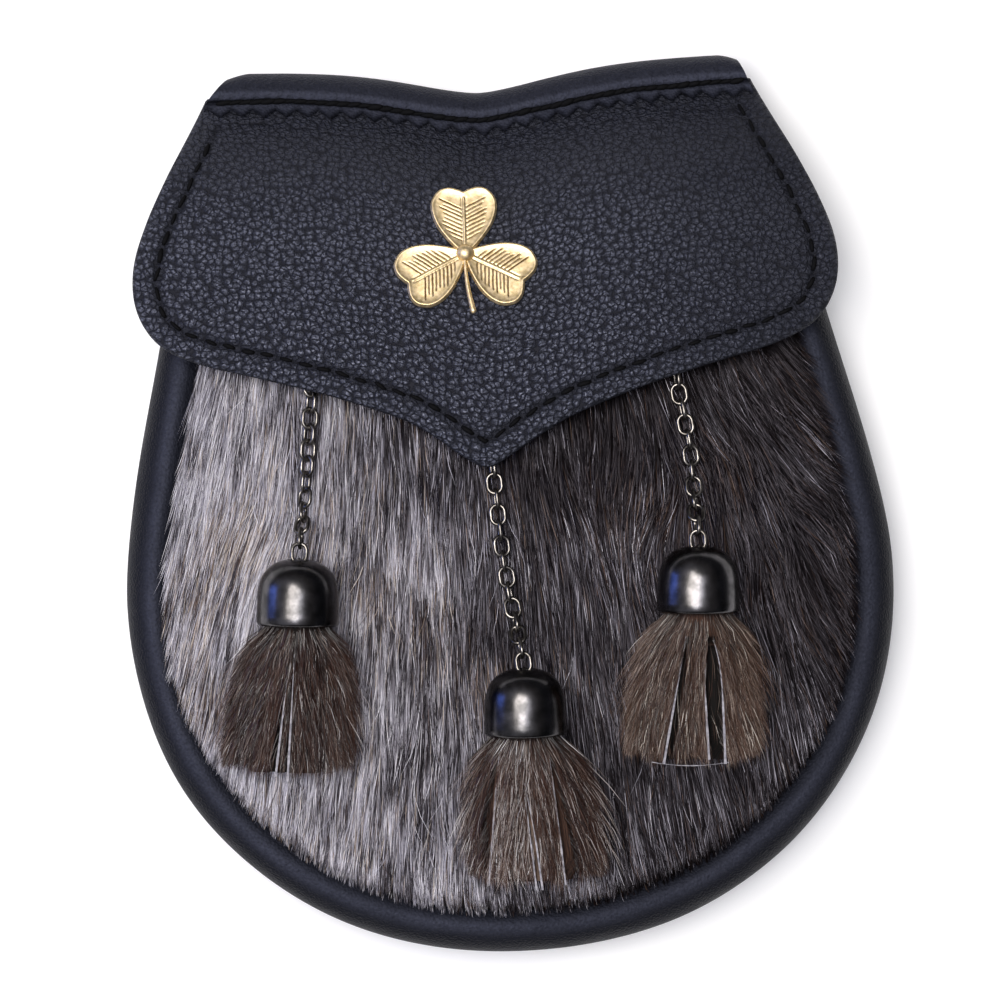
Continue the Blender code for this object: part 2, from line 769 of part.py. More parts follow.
def make_staple(name, start, along):
    """Wire bridge on the front panel, over the top end of the first link."""
    flat = Vector((along.x, along.y, 0.0)).normalized()
    end_wire = start - flat * (LINK_LENGTH / 2 - LINK_WIRE / 2)
    half = STAPLE_SPAN / 2
    feet = [end_wire - flat * half, end_wire + flat * half]
    low = max(fur_height(p.x, p.y) for p in feet) + 1.6 * GAP
    for p in feet:
        p.z = low
    arch = []
    for k in range(7):
        turn = math.pi * k / 6
        arch.append(end_wire - flat * half * math.cos(turn) + Vector((0, 0, half * math.sin(turn))))
    data = bpy.data.curves.new(f"chain_staple_{name}", "CURVE")
    data.dimensions = "3D"
    data.bevel_depth = STAPLE_WIRE / 2 * MM
    data.bevel_resolution = 2
    data.use_fill_caps = True
    spline = data.splines.new("POLY")
    route = [feet[0], *arch, feet[1]]
    spline.points.add(len(route) - 1)
    for place, p in zip(spline.points, route):
        place.co = (*(p * MM), 1.0)
    data.materials.append(material(GUNMETAL))
    made = bpy.data.objects.new(f"chain_staple_{name}", data)
    bpy.context.scene.collection.objects.link(made)


# ---------------------------------------------------------------- the back


def make_strap_loop(name, middle_x):
    """Leather band with its two feet on the back panel and a tunnel under its middle."""
    foot_top = BACK_Z - GAP
    foot = LOOP_HALF_LENGTH - LOOP_FOOT
    tunnel = foot - LOOP_RAMP
    tunnel_top = LOOP_Z + LOOP_WALL
    low = foot_top - LOOP_WALL
    side = [
        (-LOOP_HALF_LENGTH, low),
        (-foot, low),
        (-tunnel, LOOP_Z),
        (tunnel, LOOP_Z),
        (foot, low),
        (LOOP_HALF_LENGTH, low),
        (LOOP_HALF_LENGTH, foot_top),
        (foot, foot_top),
        (tunnel, tunnel_top),
        (-tunnel, tunnel_top),
        (-foot, foot_top),
        (-LOOP_HALF_LENGTH, foot_top),
    ]
    rings = []
    for x in (middle_x - LOOP_WIDTH / 2, middle_x + LOOP_WIDTH / 2):
        rings.append([(x, LOOP_Y + y, z) for y, z in side])
    add_sweep(f"strap_loop_{name}", rings, BLACK_LEATHER)


def main():
    for old in list(bpy.data.objects):
        bpy.data.objects.remove(old)
    make_back_panel()
    make_gusset()
    make_front_panel()
    make_flap()
    make_hinge_strip()
    make_flap_stud()
    make_badge()
    for name, bell_top, lean_deg, swing_deg, route in DROPS:
        frame = drop_frame(bell_top, lean_deg)
        make_bell(name, frame)
        make_tassel(name, frame, swing_deg)
        make_pin(name, frame)
        start, along = make_chain(name, frame, route)
        make_staple(name, start, along)
    make_strap_loop("left", -LOOP_X)
    make_strap_loop("right", LOOP_X)


main()
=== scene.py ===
"""Looks of the sporran pouch: leather, fur, tassels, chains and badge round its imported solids.

Sizes are in millimetres, in the part's own frame: +X right, +Y up the pouch, +Z out of its front.
They repeat the sizes that the solids were made to, and MM turns them into metres.
"""

import math

import bmesh
import bpy
import numpy as np
from mathutils import Matrix, Vector
from mathutils.geometry import delaunay_2d_cdt
from mathutils.kdtree import KDTree


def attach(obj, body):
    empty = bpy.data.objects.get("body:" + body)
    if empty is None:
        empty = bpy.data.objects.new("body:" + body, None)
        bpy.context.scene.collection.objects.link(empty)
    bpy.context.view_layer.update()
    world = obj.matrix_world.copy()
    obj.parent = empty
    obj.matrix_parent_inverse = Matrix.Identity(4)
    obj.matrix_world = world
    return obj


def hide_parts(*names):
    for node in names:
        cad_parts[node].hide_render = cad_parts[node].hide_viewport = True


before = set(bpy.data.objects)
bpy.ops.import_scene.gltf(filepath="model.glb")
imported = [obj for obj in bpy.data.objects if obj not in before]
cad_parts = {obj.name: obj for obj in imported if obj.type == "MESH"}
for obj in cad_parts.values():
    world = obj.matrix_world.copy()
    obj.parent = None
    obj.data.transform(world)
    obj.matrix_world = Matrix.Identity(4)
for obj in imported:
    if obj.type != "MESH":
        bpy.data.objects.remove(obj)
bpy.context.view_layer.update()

MM = 0.001
COARSE = 1.0

# Body outline and depth
BODY_HALF_WIDTH, BELLY_Y, BELLY_DROP, BELLY_POWER = 90.0, -20.6, 84.8, 2.1
TAPER, TAPER_ROUND, SHOULDER_Y, SHOULDER_TUCK = 0.26, 21.0, 42.0, 0.0021
DEPTH_TABLE = ((-110, 27), (0, 27), (20, 26.8), (40, 25.2), (60, 21.4), (81, 15.4), (100, 11))

# Gusset: a roll of leather, and its turned seam at the back
ROLL_WIDTH, ROLL_POWER, GUSSET_WALL = 10.5, 2.5, 1.8
BACK_SEAM_THICK, BACK_SEAM_FLAT, GUSSET_TOP_Y = 3.6, 3.5, 81.0
SEAM_DROP = 2.0  # how far the roll dips to the fur's seam

# Back panel
BACK_Z, PANEL_WALL, BACK_TOP_BELOW_FOLD, BACK_TOP_HALF_WIDTH = 3.9, 2.2, 9.0, 54.0

# Fur panel
FRONT_RISE, FRONT_DOME, DOME_HALF_WIDTH, DOME_HALF_HEIGHT = 0.5, 3.0, 79.0, 75.0
FRONT_THICK, MOUTH_Y = 3.0, 56.0

# Flap, in a frame of its own that is turned a little against the body
FLAP_ORIGIN, FLAP_TURN_DEG, FLAP_WALL = (-2.3, 0.43), -1.75, 2.4
FLAP_EDGE = (
    (64.0, 97.0), (68.9, 86.9), (73.9, 77.1), (78.3, 67.6), (81.3, 58.3), (81.6, 50.0),
    (79.2, 43.0), (74.3, 37.7), (65.5, 33.7), (52.8, 30.2), (36.6, 25.5), (20.6, 19.7),
    (12.5, 15.2), (6.7, 11.2), (2.8, 8.7), (1.2, 8.0), (0.0, 7.8),
)  # fmt: skip
FLAP_TIP_ASIDE, FLAP_TIP_FROM, FLAP_TIP_TO = -1.2, 21.0, 9.0
FLAP_RISE = (
    (5, 13.0), (8, 13.5), (12, 15.6), (18, 20.2), (24, 24.3), (30, 27.0),
    (40, 30.0), (50, 32.5), (62, 34.3), (75, 35.2), (95, 35.4),
)  # fmt: skip
FLAP_ARCH, FLAP_ARCH_HALF_WIDTH, FLAP_ARCH_POWER = 4.2, 80.0, 2.4
FLAP_ARCH_FROM, FLAP_ARCH_TO = 8.0, 36.0
FLAP_TOP_BELOW_FOLD = 5.8

# Hinge strip
FOLD_TOP, FOLD_DIP, FOLD_DIP_HALF_WIDTH, FOLD_DIP_POWER = 103.2, 6.8, 24.0, 1.6
LEFT_END, LEFT_SLANT, RIGHT_END, RIGHT_SLANT = 57.6, 0.86, 60.4, 0.43
STRIP_HALF_WIDTH, FOLD_CORNER_LENGTH, FOLD_CORNER_DROP, FOLD_REACH = 64.4, 4.0, 1.2, 5.2
STRIP_WALL, STRIP_LIFT, STRIP_FRONT_END, STRIP_BACK_END = 1.4, 0.6, 10.8, 15.5

# Thread and the strip's zigzag edge
FLAP_STITCH_INSET, FLAP_STITCH_PITCH = 5.7, 4.5
STRIP_STITCH_BELOW, STRIP_STITCH_PITCH = 7.1, 2.5
PINK_PITCH, PINK_DEPTH = 4.6, 1.9

# Badge
BADGE_CENTRE, BADGE_THICK, BADGE_REACH, BADGE_GAP = (-5.0, 57.5), 1.3, 14.0, 0.3
LEAF_HALF = (
    (0.4, 1.4), (3.0, 3.8), (6.0, 6.0), (8.6, 7.2), (10.9, 7.65), (13.2, 7.3),
    (15.3, 5.6), (15.9, 3.3), (15.3, 1.0), (14.8, 0.0),
)  # fmt: skip
LEAVES = ((87.7, 1.02), (205.0, 1.03), (329.8, 1.03))  # (direction in degrees, length scale)
VEIN_PITCH, BALL_RADIUS = 0.98, 2.1

# Chains, bells and tassels
LINK_LENGTH, LINK_WIDTH, LINK_WIRE, LINK_PITCH, LINK_HEIGHT = 5.45, 4.25, 0.92, 3.62, 2.4
LINK_RISE_FROM, LINK_RISE_TO = 1.0, 15.0
LINK_SWAY_DEG = (9.0, -12.0, 5.0, 14.0, -7.0)
STAPLE_WIRE, STAPLE_SPAN = 0.9, 2.6
BELL_RADIUS, BELL_LENGTH, BELL_WALL, BELL_HOLE_RADIUS = 9.3, 15.4, 0.8, 2.5
BELL_SQUARE, BELL_HEIGHT = 0.8, 9.65
PIN_RADIUS, PIN_HALF_LENGTH, PIN_DEPTH = 0.55, 4.9, 3.3
# (distance from the bell's top, half-width, half-depth, sink)
TASSEL_SECTIONS = (
    (5.8, 5.4, 5.4, 0.0), (9.0, 7.4, 7.4, 0.0), (15.4, 7.6, 7.4, 0.0), (20.0, 11.0, 7.5, 0.5),
    (27.0, 13.3, 6.9, 1.5), (36.0, 14.7, 6.1, 2.6), (50.2, 15.6, 5.1, 3.9),
)  # fmt: skip
DROPS = (
    ("left", (-47.9, -9.5), -5.0, -4.0, ((-41.6, 37.0), (-42.9, 27.1), (-45.2, 9.6))),
    ("centre", (2.0, -37.8), -3.0, 3.4, ((-2.4, 19.0), (-2.1, 8.4), (-1.0, -13.3))),
    ("right", (43.7, -12.9), -4.0, -2.9, ((42.3, 36.5), (41.8, 25.5), (43.8, 7.5))),
)
STUD_X, STUD_Y, STUD_RADIUS, STUD_WAIST = -1.6, 31.0, 5.0, 4.2
LOOP_X, LOOP_Y, LOOP_WIDTH, LOOP_HALF_LENGTH, LOOP_WALL = 38.0, 58.0, 13.0, 17.0, 1.2
LOOP_FOOT, LOOP_RAMP, LOOP_Z = 5.0, 3.0, 0.2


# ---------------------------------------------------------------- numbers and curves


def smooth(start, end, value):
    """0 before start, 1 after end, and an easy curve between."""
    share = np.clip((np.asarray(value, float) - start) / (end - start), 0, 1)
    return share * share * (3 - 2 * share)


def hill(away, width):
    """1 on the middle of a soft rise, and near 0 beyond twice its width."""
    return np.exp(-((away / width) ** 2))


def read_table(table, at):
    """Value of a two-column table at each place, on a smooth curve through its rows."""
    keys, values = np.array(table, float).T
    last = len(keys) - 1
    row = np.arange(last + 1)
    before, after = np.maximum(row - 1, 0), np.minimum(row + 1, last)
    slope = (values[after] - values[before]) / (keys[after] - keys[before])
    at = np.clip(np.asarray(at, float), keys[0], keys[last])
    row = np.searchsorted(keys[1:last], at, side="left")
    span = keys[row + 1] - keys[row]
    t = (at - keys[row]) / span
    return (
        values[row] * (2 * t**3 - 3 * t**2 + 1)
        + slope[row] * span * (t**3 - 2 * t**2 + t)
        + values[row + 1] * (3 * t**2 - 2 * t**3)
        + slope[row + 1] * span * (t**3 - t**2)
    )


def curve_through(points, steps):
    """Points of a smooth curve through the given ones, with that many steps in each stretch."""
    p = np.array(points, float)
    last = len(p) - 1
    t = (np.arange(steps) / steps)[:, None]
    found = []
    for i in range(last):
        a, b, c, d = p[max(i - 1, 0)], p[i], p[i + 1], p[min(i + 2, last)]
        second, third = 2 * a - 5 * b + 4 * c - d, 3 * b - a - 3 * c + d
        found.append(0.5 * (2 * b + (c - a) * t + second * t * t + third * t**3))
    return np.vstack([*found, p[last:]])


def even_points(points, step, closed=False):
    """The same line with points about a step apart, ends kept."""
    p = np.asarray(points, float)
    if closed:
        p = np.vstack([p, p[:1]])
    length = np.concatenate([[0], np.cumsum(np.linalg.norm(np.diff(p, axis=0), axis=1))])
    count = max(2, round(length[-1] / step))
    wanted = length[-1] * np.arange(count + (not closed)) / count
    return np.stack([np.interp(wanted, length, axis) for axis in p.T], 1)


def unit(v):
    return v / np.maximum(np.linalg.norm(v, axis=-1, keepdims=True), 1e-12)


def left_of(line, closed=True):
    """Unit normals on the left of a flat line."""
    if closed:
        along = np.roll(line, -1, 0) - np.roll(line, 1, 0)
    else:
        along = np.gradient(line, axis=0)
    return unit(np.stack([-along[:, 1], along[:, 0]], 1))


def nearest(points, line):
    """Distance from each flat point to a dense line, and which of its points is nearest."""
    tree = KDTree(len(line))
    for k, (x, y) in enumerate(line):
        tree.insert((x, y, 0.0), k)
    tree.balance()
    found = np.array([tree.find((x, y, 0.0))[1:] for x, y in points])
    return found[:, 1], found[:, 0].astype(int)


def past(points, line, normals):
    """Distance from each flat point to a dense line, and how far it lies to the normals' side."""
    distance, index = nearest(points, line)
    return distance, ((points - line[index]) * normals[index]).sum(1)


def inward_of(edge):
    """Unit normals that point into a closed flat line."""
    inward = left_of(edge)
    return -inward if ((edge.mean(0) - edge) * inward).sum() < 0 else inward


def patchy(x, y, across, along, seed):
    """Soft irregular patches from -1 to 1, each about that wide and long."""
    table = np.random.default_rng(seed).uniform(-1, 1, (128, 128))
    u, v = np.asarray(x) / across + 512.0, np.asarray(y) / along + 512.0
    i, j = np.floor(u).astype(int), np.floor(v).astype(int)
    s, t = smooth(0, 1, u - i), smooth(0, 1, v - j)
    i, j, i2, j2 = i % 128, j % 128, (i + 1) % 128, (j + 1) % 128
    low = table[i, j] * (1 - s) + table[i2, j] * s
    high = table[i, j2] * (1 - s) + table[i2, j2] * s
    return low * (1 - t) + high * t


# ---------------------------------------------------------------- the pouch's surfaces


def body_half_width(y):
    y = np.asarray(y, float)
    share = np.clip((BELLY_Y - y) / BELLY_DROP, 0, 1)
    belly = BODY_HALF_WIDTH * (1 - share**BELLY_POWER) ** (1 / BELLY_POWER)
    taper = TAPER * (np.hypot(y - BELLY_Y, TAPER_ROUND) - TAPER_ROUND)
    above = BODY_HALF_WIDTH - taper - SHOULDER_TUCK * np.maximum(0.0, y - SHOULDER_Y) ** 2
    return np.where(y <= BELLY_Y, belly, above)


def body_line(top_y, step):
    """(points, outward normals) round the body, from its right top to its left top."""
    y = np.linspace(top_y, BELLY_Y, 90)[:-1]
    side = np.stack([body_half_width(y), y], 1)
    turn = np.linspace(0, math.pi / 2, 90)
    x = BODY_HALF_WIDTH * np.cos(turn).clip(0) ** (2 / BELLY_POWER)
    low = np.stack([x, BELLY_Y - BELLY_DROP * np.sin(turn) ** (2 / BELLY_POWER)], 1)
    half = np.vstack([side, low])
    line = even_points(np.vstack([half, half[-2::-1] * (-1, 1)]), step)
    return line, left_of(line, closed=False)


def body_depth(y):
    return read_table(DEPTH_TABLE, y)


def fur_height(x, y):
    """Surface of the fur panel's underfur."""
    spread = (x / DOME_HALF_WIDTH) ** 2 + ((y - BELLY_Y) / DOME_HALF_HEIGHT) ** 2
    return body_depth(y) + FRONT_RISE + FRONT_DOME * np.maximum(0.0, 1 - spread)


def fold_top(across):
    return FOLD_TOP - FOLD_DIP * np.exp(-((np.abs(across) / FOLD_DIP_HALF_WIDTH) ** FOLD_DIP_POWER))


def flap_height(across, below):
    """Underside of the flap, at a distance below the fold's top line."""
    arch = FLAP_ARCH * smooth(FLAP_ARCH_FROM, FLAP_ARCH_TO, below)
    return read_table(FLAP_RISE, below) - arch * (np.abs(across) / FLAP_ARCH_HALF_WIDTH) ** FLAP_ARCH_POWER


FLAP_TURN = np.array(Matrix.Rotation(math.radians(FLAP_TURN_DEG), 2))


def from_flap(places):
    return np.asarray(places, float) @ FLAP_TURN.T + FLAP_ORIGIN


def to_flap(places):
    return (np.asarray(places, float) - FLAP_ORIGIN) @ FLAP_TURN


def flap_height_at(x, y):
    across, up = to_flap(np.stack([x, y], -1)).T
    return flap_height(across, fold_top(across) - up)


# ---------------------------------------------------------------- materials


def linear(hex_colour):
    """An sRGB colour, turned to linear light."""
    parts = [int(hex_colour[i : i + 2], 16) / 255 for i in (1, 3, 5)]
    return (*[((c + 0.055) / 1.055) ** 2.4 if c > 0.04045 else c / 12.92 for c in parts], 1.0)


def add_node(tree, kind, inputs=None, stops=None, **settings):
    """Adds a shader node: its settings, its inputs as values or links, and a ramp's colours."""
    made = tree.nodes.new("ShaderNode" + kind)
    for name, value in settings.items():
        setattr(made, name, value)
    for name, value in (inputs or {}).items():
        if isinstance(value, bpy.types.NodeSocket):
            tree.links.new(value, made.inputs[name])
        else:
            made.inputs[name].default_value = value
    for k, (place, colour) in enumerate(stops or ()):
        ramp = made.color_ramp.elements
        stop = ramp[k] if k < 2 else ramp.new(place)
        stop.position, stop.color = place, linear(colour)
    return made


def new_material(name, **finish):
    """A material with constant settings on its shader; returns its nodes and the shader."""
    made = bpy.data.materials.new(name)
    made.use_nodes = True
    tree = made.node_tree
    shader = tree.nodes["Principled BSDF"]
    for setting, value in finish.items():
        value = linear(value) if isinstance(value, str) else value
        shader.inputs[setting.replace("_", " ")].default_value = value
    return made, tree, shader


def smooth_leather():
    """Chrome-tanned cowhide, dyed through in black and plated smooth: a soft satin sheen over a
    fine grain that breaks the highlight up into specks."""
    made, tree, shader = new_material(
        "smooth_black_leather", IOR=1.45, Specular_IOR_Level=0.13, Specular_Tint="#d2d6f0"
    )
    place = add_node(tree, "TexCoord").outputs["Object"]
    # Pores and plate marks about 0.6 mm apart, as coarse as they need to be to show
    grain = add_node(tree, "TexVoronoi", {"Vector": place, "Scale": 1 / (0.6 * MM), "Randomness": 1.0})
    dye = add_node(tree, "TexNoise", {"Vector": place, "Scale": 1 / (9 * MM), "Detail": 5.0})
    colour = add_node(
        tree, "ValToRGB", {"Fac": dye.outputs["Fac"]}, stops=((0.3, "#0b0c11"), (0.7, "#13141a"))
    )
    # Where the point attribute says so, the colour is painted a greyer black, broken up by the fine grain:
    # a painted highlight
    painted_highlight = add_node(tree, "Attribute", attribute_name="painted_highlight").outputs["Fac"]
    fine = add_node(tree, "TexNoise", {"Vector": place, "Scale": 1 / (0.7 * MM), "Detail": 4.0})
    speckled = add_node(tree, "Math", {0: fine.outputs["Fac"], 1: 1.8, 2: 0.1}, operation="MULTIPLY_ADD")
    painted_highlight = add_node(tree, "Math", {0: painted_highlight, 1: speckled.outputs[0]}, operation="MULTIPLY")
    colour = add_node(
        tree, "Mix", {0: painted_highlight.outputs[0], 6: colour.outputs["Color"], 7: linear("#353742")},
        data_type="RGBA",
    )
    tree.links.new(colour.outputs[2], shader.inputs["Base Color"])
    rough = add_node(
        tree, "MapRange",
        {"Value": dye.outputs["Fac"], "From Min": 0.3, "From Max": 0.7, "To Min": 0.5, "To Max": 0.62},
    )
    tree.links.new(rough.outputs["Result"], shader.inputs["Roughness"])
    relief = add_node(
        tree, "Math", {0: grain.outputs["Distance"], 1: fine.outputs["Fac"]}, operation="ADD"
    )
    inputs = {"Height": relief.outputs["Value"], "Strength": 0.9, "Distance": 0.2 * MM}
    bump = add_node(tree, "Bump", inputs)
    tree.links.new(bump.outputs["Normal"], shader.inputs["Normal"])
    return made


def pebbled_leather():
    """Cowhide embossed with a pebble grain: small round domes, coloured by their height, with painted
    shade in their creases and a painted highlight on their crowns, so that each catches its own speck of
    light."""
    made, tree, shader = new_material(
        "pebbled_black_leather", IOR=1.45, Specular_IOR_Level=0.6, Specular_Tint="#d7d8ec"
    )
    flat = add_node(tree, "Attribute", attribute_name="laid_flat").outputs["Vector"]
    # Pebbles 1.4 mm across, pushed about so that no two are alike
    push = add_node(
        tree, "TexNoise", {"Vector": flat, "Scale": 1 / (1.6 * MM), "Detail": 2.0}, noise_dimensions="2D"
    ).outputs["Color"]
    push = add_node(
        tree, "VectorMath", {0: push, 1: (-0.5, -0.5, -0.5)}, operation="ADD"
    ).outputs["Vector"]
    pushed = add_node(
        tree, "VectorMath", {0: push, 1: (1.3 * MM,) * 3, 2: flat}, operation="MULTIPLY_ADD"
    ).outputs["Vector"]
    cells = {"Vector": pushed, "Scale": 1 / (1.45 * MM), "Randomness": 0.9}
    away = add_node(tree, "TexVoronoi", cells, voronoi_dimensions="2D").outputs["Distance"]
    dome = add_node(tree, "Math", {0: away, 1: away}, operation="MULTIPLY").outputs[0]
    dome = add_node(tree, "Math", {0: dome, 1: -1.3, 2: 0.85}, operation="MULTIPLY_ADD").outputs[0]
    # Thin creases between the pebbles, fainter in places
    inside = add_node(
        tree, "TexVoronoi", cells, feature="DISTANCE_TO_EDGE", voronoi_dimensions="2D"
    ).outputs["Distance"]
    crease = add_node(
        tree, "MapRange",
        {"Value": inside, "From Min": 0.0, "From Max": 0.13, "To Min": 0.5, "To Max": 1.0},
        interpolation_type="SMOOTHSTEP",
    ).outputs["Result"]
    dome = add_node(tree, "Math", {0: dome, 1: crease}, operation="MULTIPLY").outputs[0]
    # Wrinkles on each pebble, about 0.5 mm apart
    fine = add_node(
        tree, "TexNoise", {"Vector": flat, "Scale": 1 / (0.5 * MM), "Detail": 3.0}, noise_dimensions="2D"
    ).outputs["Fac"]
    height = add_node(tree, "Math", {0: fine, 1: 1.1, 2: dome}, operation="MULTIPLY_ADD").outputs[0]
    height = add_node(tree, "Math", {0: height, 1: 0.5}, operation="SUBTRACT", use_clamp=True).outputs[0]
    # Painted shade: the stitched furrow, the cut edge, the underside, and the flap towards its fold and
    # its right side are painted darker
    painted_shade = add_node(tree, "Attribute", attribute_name="painted_shade").outputs["Fac"]
    free = add_node(tree, "Math", {0: painted_shade, 1: -0.75, 2: 1.0}, operation="MULTIPLY_ADD").outputs[0]
    lit = add_node(tree, "Math", {0: height, 1: free}, operation="MULTIPLY").outputs[0]
    # Colour by height: painted shade in the creases and a painted highlight on the crowns
    colour = add_node(
        tree, "ValToRGB", {"Fac": lit},
        stops=((0.0, "#07080c"), (0.35, "#12141b"), (0.7, "#282a32"), (1.0, "#555865")),
    )
    tree.links.new(colour.outputs["Color"], shader.inputs["Base Color"])
    rough = add_node(tree, "MapRange", {"Value": lit, "To Min": 0.75, "To Max": 0.38}).outputs["Result"]
    tree.links.new(rough, shader.inputs["Roughness"])
    relief = add_node(tree, "Bump", {"Height": height, "Strength": 1.0, "Distance": 0.5 * MM})
    tree.links.new(relief.outputs["Normal"], shader.inputs["Normal"])
    return made


def plain_finish(name, low, high, size, depth, **finish):
    """A finish with soft colour changes and a fine relief, both about that size in mm."""
    made, tree, shader = new_material(name, **finish)
    place = add_node(tree, "TexCoord").outputs["Object"]
    noise = add_node(tree, "TexNoise", {"Vector": place, "Scale": 1 / (size * MM), "Detail": 5.0})
    colour = add_node(tree, "ValToRGB", {"Fac": noise.outputs["Fac"]}, stops=((0.35, low), (0.65, high)))
    tree.links.new(colour.outputs["Color"], shader.inputs["Base Color"])
    inputs = {"Height": noise.outputs["Fac"], "Strength": 0.5, "Distance": depth * MM}
    bump = add_node(tree, "Bump", inputs)
    tree.links.new(bump.outputs["Normal"], shader.inputs["Normal"])
    return made


def gilt_brass():
    """Cast brass under a thin gilt, polished by hand: pale satin gold, a little uneven, with brown
    tarnish left in the cut veins."""
    made, tree, shader = new_material("gilt_brass", Metallic=1.0)
    place = add_node(tree, "TexCoord").outputs["Object"]
    noise = add_node(tree, "TexNoise", {"Vector": place, "Scale": 1 / (1.0 * MM), "Detail": 5.0})
    gilt = add_node(
        tree, "ValToRGB", {"Fac": noise.outputs["Fac"]}, stops=((0.35, "#dbc391"), (0.65, "#f3ddb5"))
    )
    # "vein" counts the cut veins along a leaf, and says how deep they are at each place
    vein = add_node(tree, "Attribute", attribute_name="vein").outputs["Vector"]
    vein = add_node(tree, "SeparateXYZ", {"Vector": vein})
    away = add_node(tree, "Math", {0: vein.outputs["X"], 1: 0.5}, operation="PINGPONG").outputs[0]
    cut = add_node(
        tree, "MapRange", {"Value": away, "From Min": 0.07, "From Max": 0.2, "To Min": 1.0, "To Max": 0.0}
    ).outputs["Result"]
    cut = add_node(tree, "Math", {0: cut, 1: vein.outputs["Y"]}, operation="MULTIPLY").outputs[0]
    tarnish = add_node(
        tree, "Mix", {0: cut, 6: gilt.outputs["Color"], 7: linear("#6b4c26")}, data_type="RGBA"
    )
    tree.links.new(tarnish.outputs[2], shader.inputs["Base Color"])
    rough = add_node(
        tree, "MapRange",
        {"Value": noise.outputs["Fac"], "From Min": 0.3, "From Max": 0.7, "To Min": 0.42, "To Max": 0.55},
    )
    tree.links.new(rough.outputs["Result"], shader.inputs["Roughness"])
    relief = add_node(tree, "Math", {0: cut, 1: -2.0, 2: noise.outputs["Fac"]}, operation="MULTIPLY_ADD")
    bump = add_node(tree, "Bump", {"Height": relief.outputs[0], "Strength": 0.6, "Distance": 0.05 * MM})
    tree.links.new(bump.outputs["Normal"], shader.inputs["Normal"])
    return made


def underfur(name, stops):
    """The dense soft coat under the guard hairs. The point attribute "tone" is how light it is, and
    "combed" is the place across and along the hair, for strands about 0.3 mm apart."""
    made, tree, shader = new_material(name, Roughness=0.8, Specular_IOR_Level=0.25)
    combed = add_node(tree, "Attribute", attribute_name="combed").outputs["Vector"]
    strand = 1 / (0.3 * MM), 1 / (5.0 * MM), 1.0
    combed = add_node(tree, "VectorMath", {0: combed, 1: strand}, operation="MULTIPLY").outputs["Vector"]
    strands = add_node(
        tree, "TexNoise", {"Vector": combed, "Scale": 1.0, "Detail": 2.0}, noise_dimensions="2D"
    ).outputs["Fac"]
    tone = add_node(tree, "Attribute", attribute_name="tone").outputs["Fac"]
    mixed = add_node(tree, "Math", {0: strands, 1: 0.7, 2: tone}, operation="MULTIPLY_ADD").outputs[0]
    mixed = add_node(tree, "Math", {0: mixed, 1: 0.35}, operation="SUBTRACT").outputs[0]
    colour = add_node(tree, "ValToRGB", {"Fac": mixed}, stops=stops)
    tree.links.new(colour.outputs["Color"], shader.inputs["Base Color"])
    bump = add_node(tree, "Bump", {"Height": strands, "Strength": 0.8, "Distance": 0.2 * MM})
    tree.links.new(bump.outputs["Normal"], shader.inputs["Normal"])
    return made


def hair_material(name, stops, **finish):
    """Hair as it grows: its map's u is how light the hair is, and v runs from root to tip."""
    made, tree, shader = new_material(name, IOR=1.55, **finish)
    place = add_node(tree, "UVMap", uv_map="OFBake").outputs["UV"]
    split = add_node(tree, "SeparateXYZ", {"Vector": place})
    tone = add_node(tree, "ValToRGB", {"Fac": split.outputs["X"]}, stops=stops)
    root = add_node(
        tree, "ValToRGB", {"Fac": split.outputs["Y"]},
        stops=((0.0, "#4a4a4a"), (0.4, "#b0b0b0"), (0.75, "#ffffff"), (1.0, "#f0f0f0")),
    )
    shaded = add_node(
        tree, "Mix", {0: 1.0, 6: tone.outputs["Color"], 7: root.outputs["Color"]},
        data_type="RGBA", blend_type="MULTIPLY",
    )
    tree.links.new(shaded.outputs[2], shader.inputs["Base Color"])
    return made


SMOOTH_LEATHER = smooth_leather()
PEBBLED_LEATHER = pebbled_leather()
# Waxed linen thread, laid as thick as it shows
THREAD = plain_finish(
    "waxed_black_thread", "#030304", "#08080b", 0.3, 0.15, Roughness=0.8, Specular_IOR_Level=0.12
)
# Raw cut edge of the tassels' tanned strips: pale, dry leather
CUT_EDGE = plain_finish("cut_hide_edge", "#74727a", "#aaa7ae", 1.1, 0.1, Roughness=0.75)
BRASS = gilt_brass()
# Black nickel plate on spun brass: a dark mirror, smudged a little
GUNMETAL = plain_finish(
    "black_nickel_plate", "#403f3f", "#5f5d5e", 2.6, 0.045, Metallic=1.0, Roughness=0.24
)
# Drawn steel wire, bright-dipped and a little tarnished
WIRE = plain_finish(
    "dark_nickelled_wire", "#5b5753", "#8c8781", 1.5, 0.02, Metallic=1.0, Roughness=0.28
)

# Grey hair from near black to silver, then brown hair from near black to tan
GREY_STOPS = (
    (0.0, "#080506"), (0.11, "#1c181a"), (0.24, "#4e4a4f"), (0.35, "#8d8a94"), (0.44, "#c3c0cb"),
    (0.495, "#f3f1f8"), (0.505, "#080403"), (0.62, "#261610"), (0.75, "#584335"), (0.88, "#9c8878"),
    (1.0, "#e2d6ca"),
)  # fmt: skip
BROWN_STOPS = (
    (0.0, "#060302"), (0.2, "#200f0b"), (0.42, "#452b21"), (0.6, "#6b5347"), (0.8, "#a4968e"),
    (1.0, "#f0edee"),
)  # fmt: skip
TAN_STOPS = (
    (0.0, "#060302"), (0.2, "#21130d"), (0.42, "#463024"), (0.6, "#6c554a"), (0.8, "#a8978a"),
    (1.0, "#efe7dc"),
)  # fmt: skip
GREY_UNDER_STOPS = ((0.0, "#080505"), (0.3, "#282122"), (0.6, "#6b6669"), (1.0, "#b6b1b8"))
BROWN_UNDER_STOPS = ((0.0, "#050302"), (0.3, "#22130e"), (0.6, "#4f382c"), (1.0, "#8e7b6c"))
GREY_FUR = hair_material(
    "grey_guard_hair", GREY_STOPS, Roughness=0.38, Specular_IOR_Level=0.23, Specular_Tint="#ebe2f1"
)
BROWN_FUR = hair_material("brown_guard_hair", BROWN_STOPS, Roughness=0.34, Specular_IOR_Level=0.36)
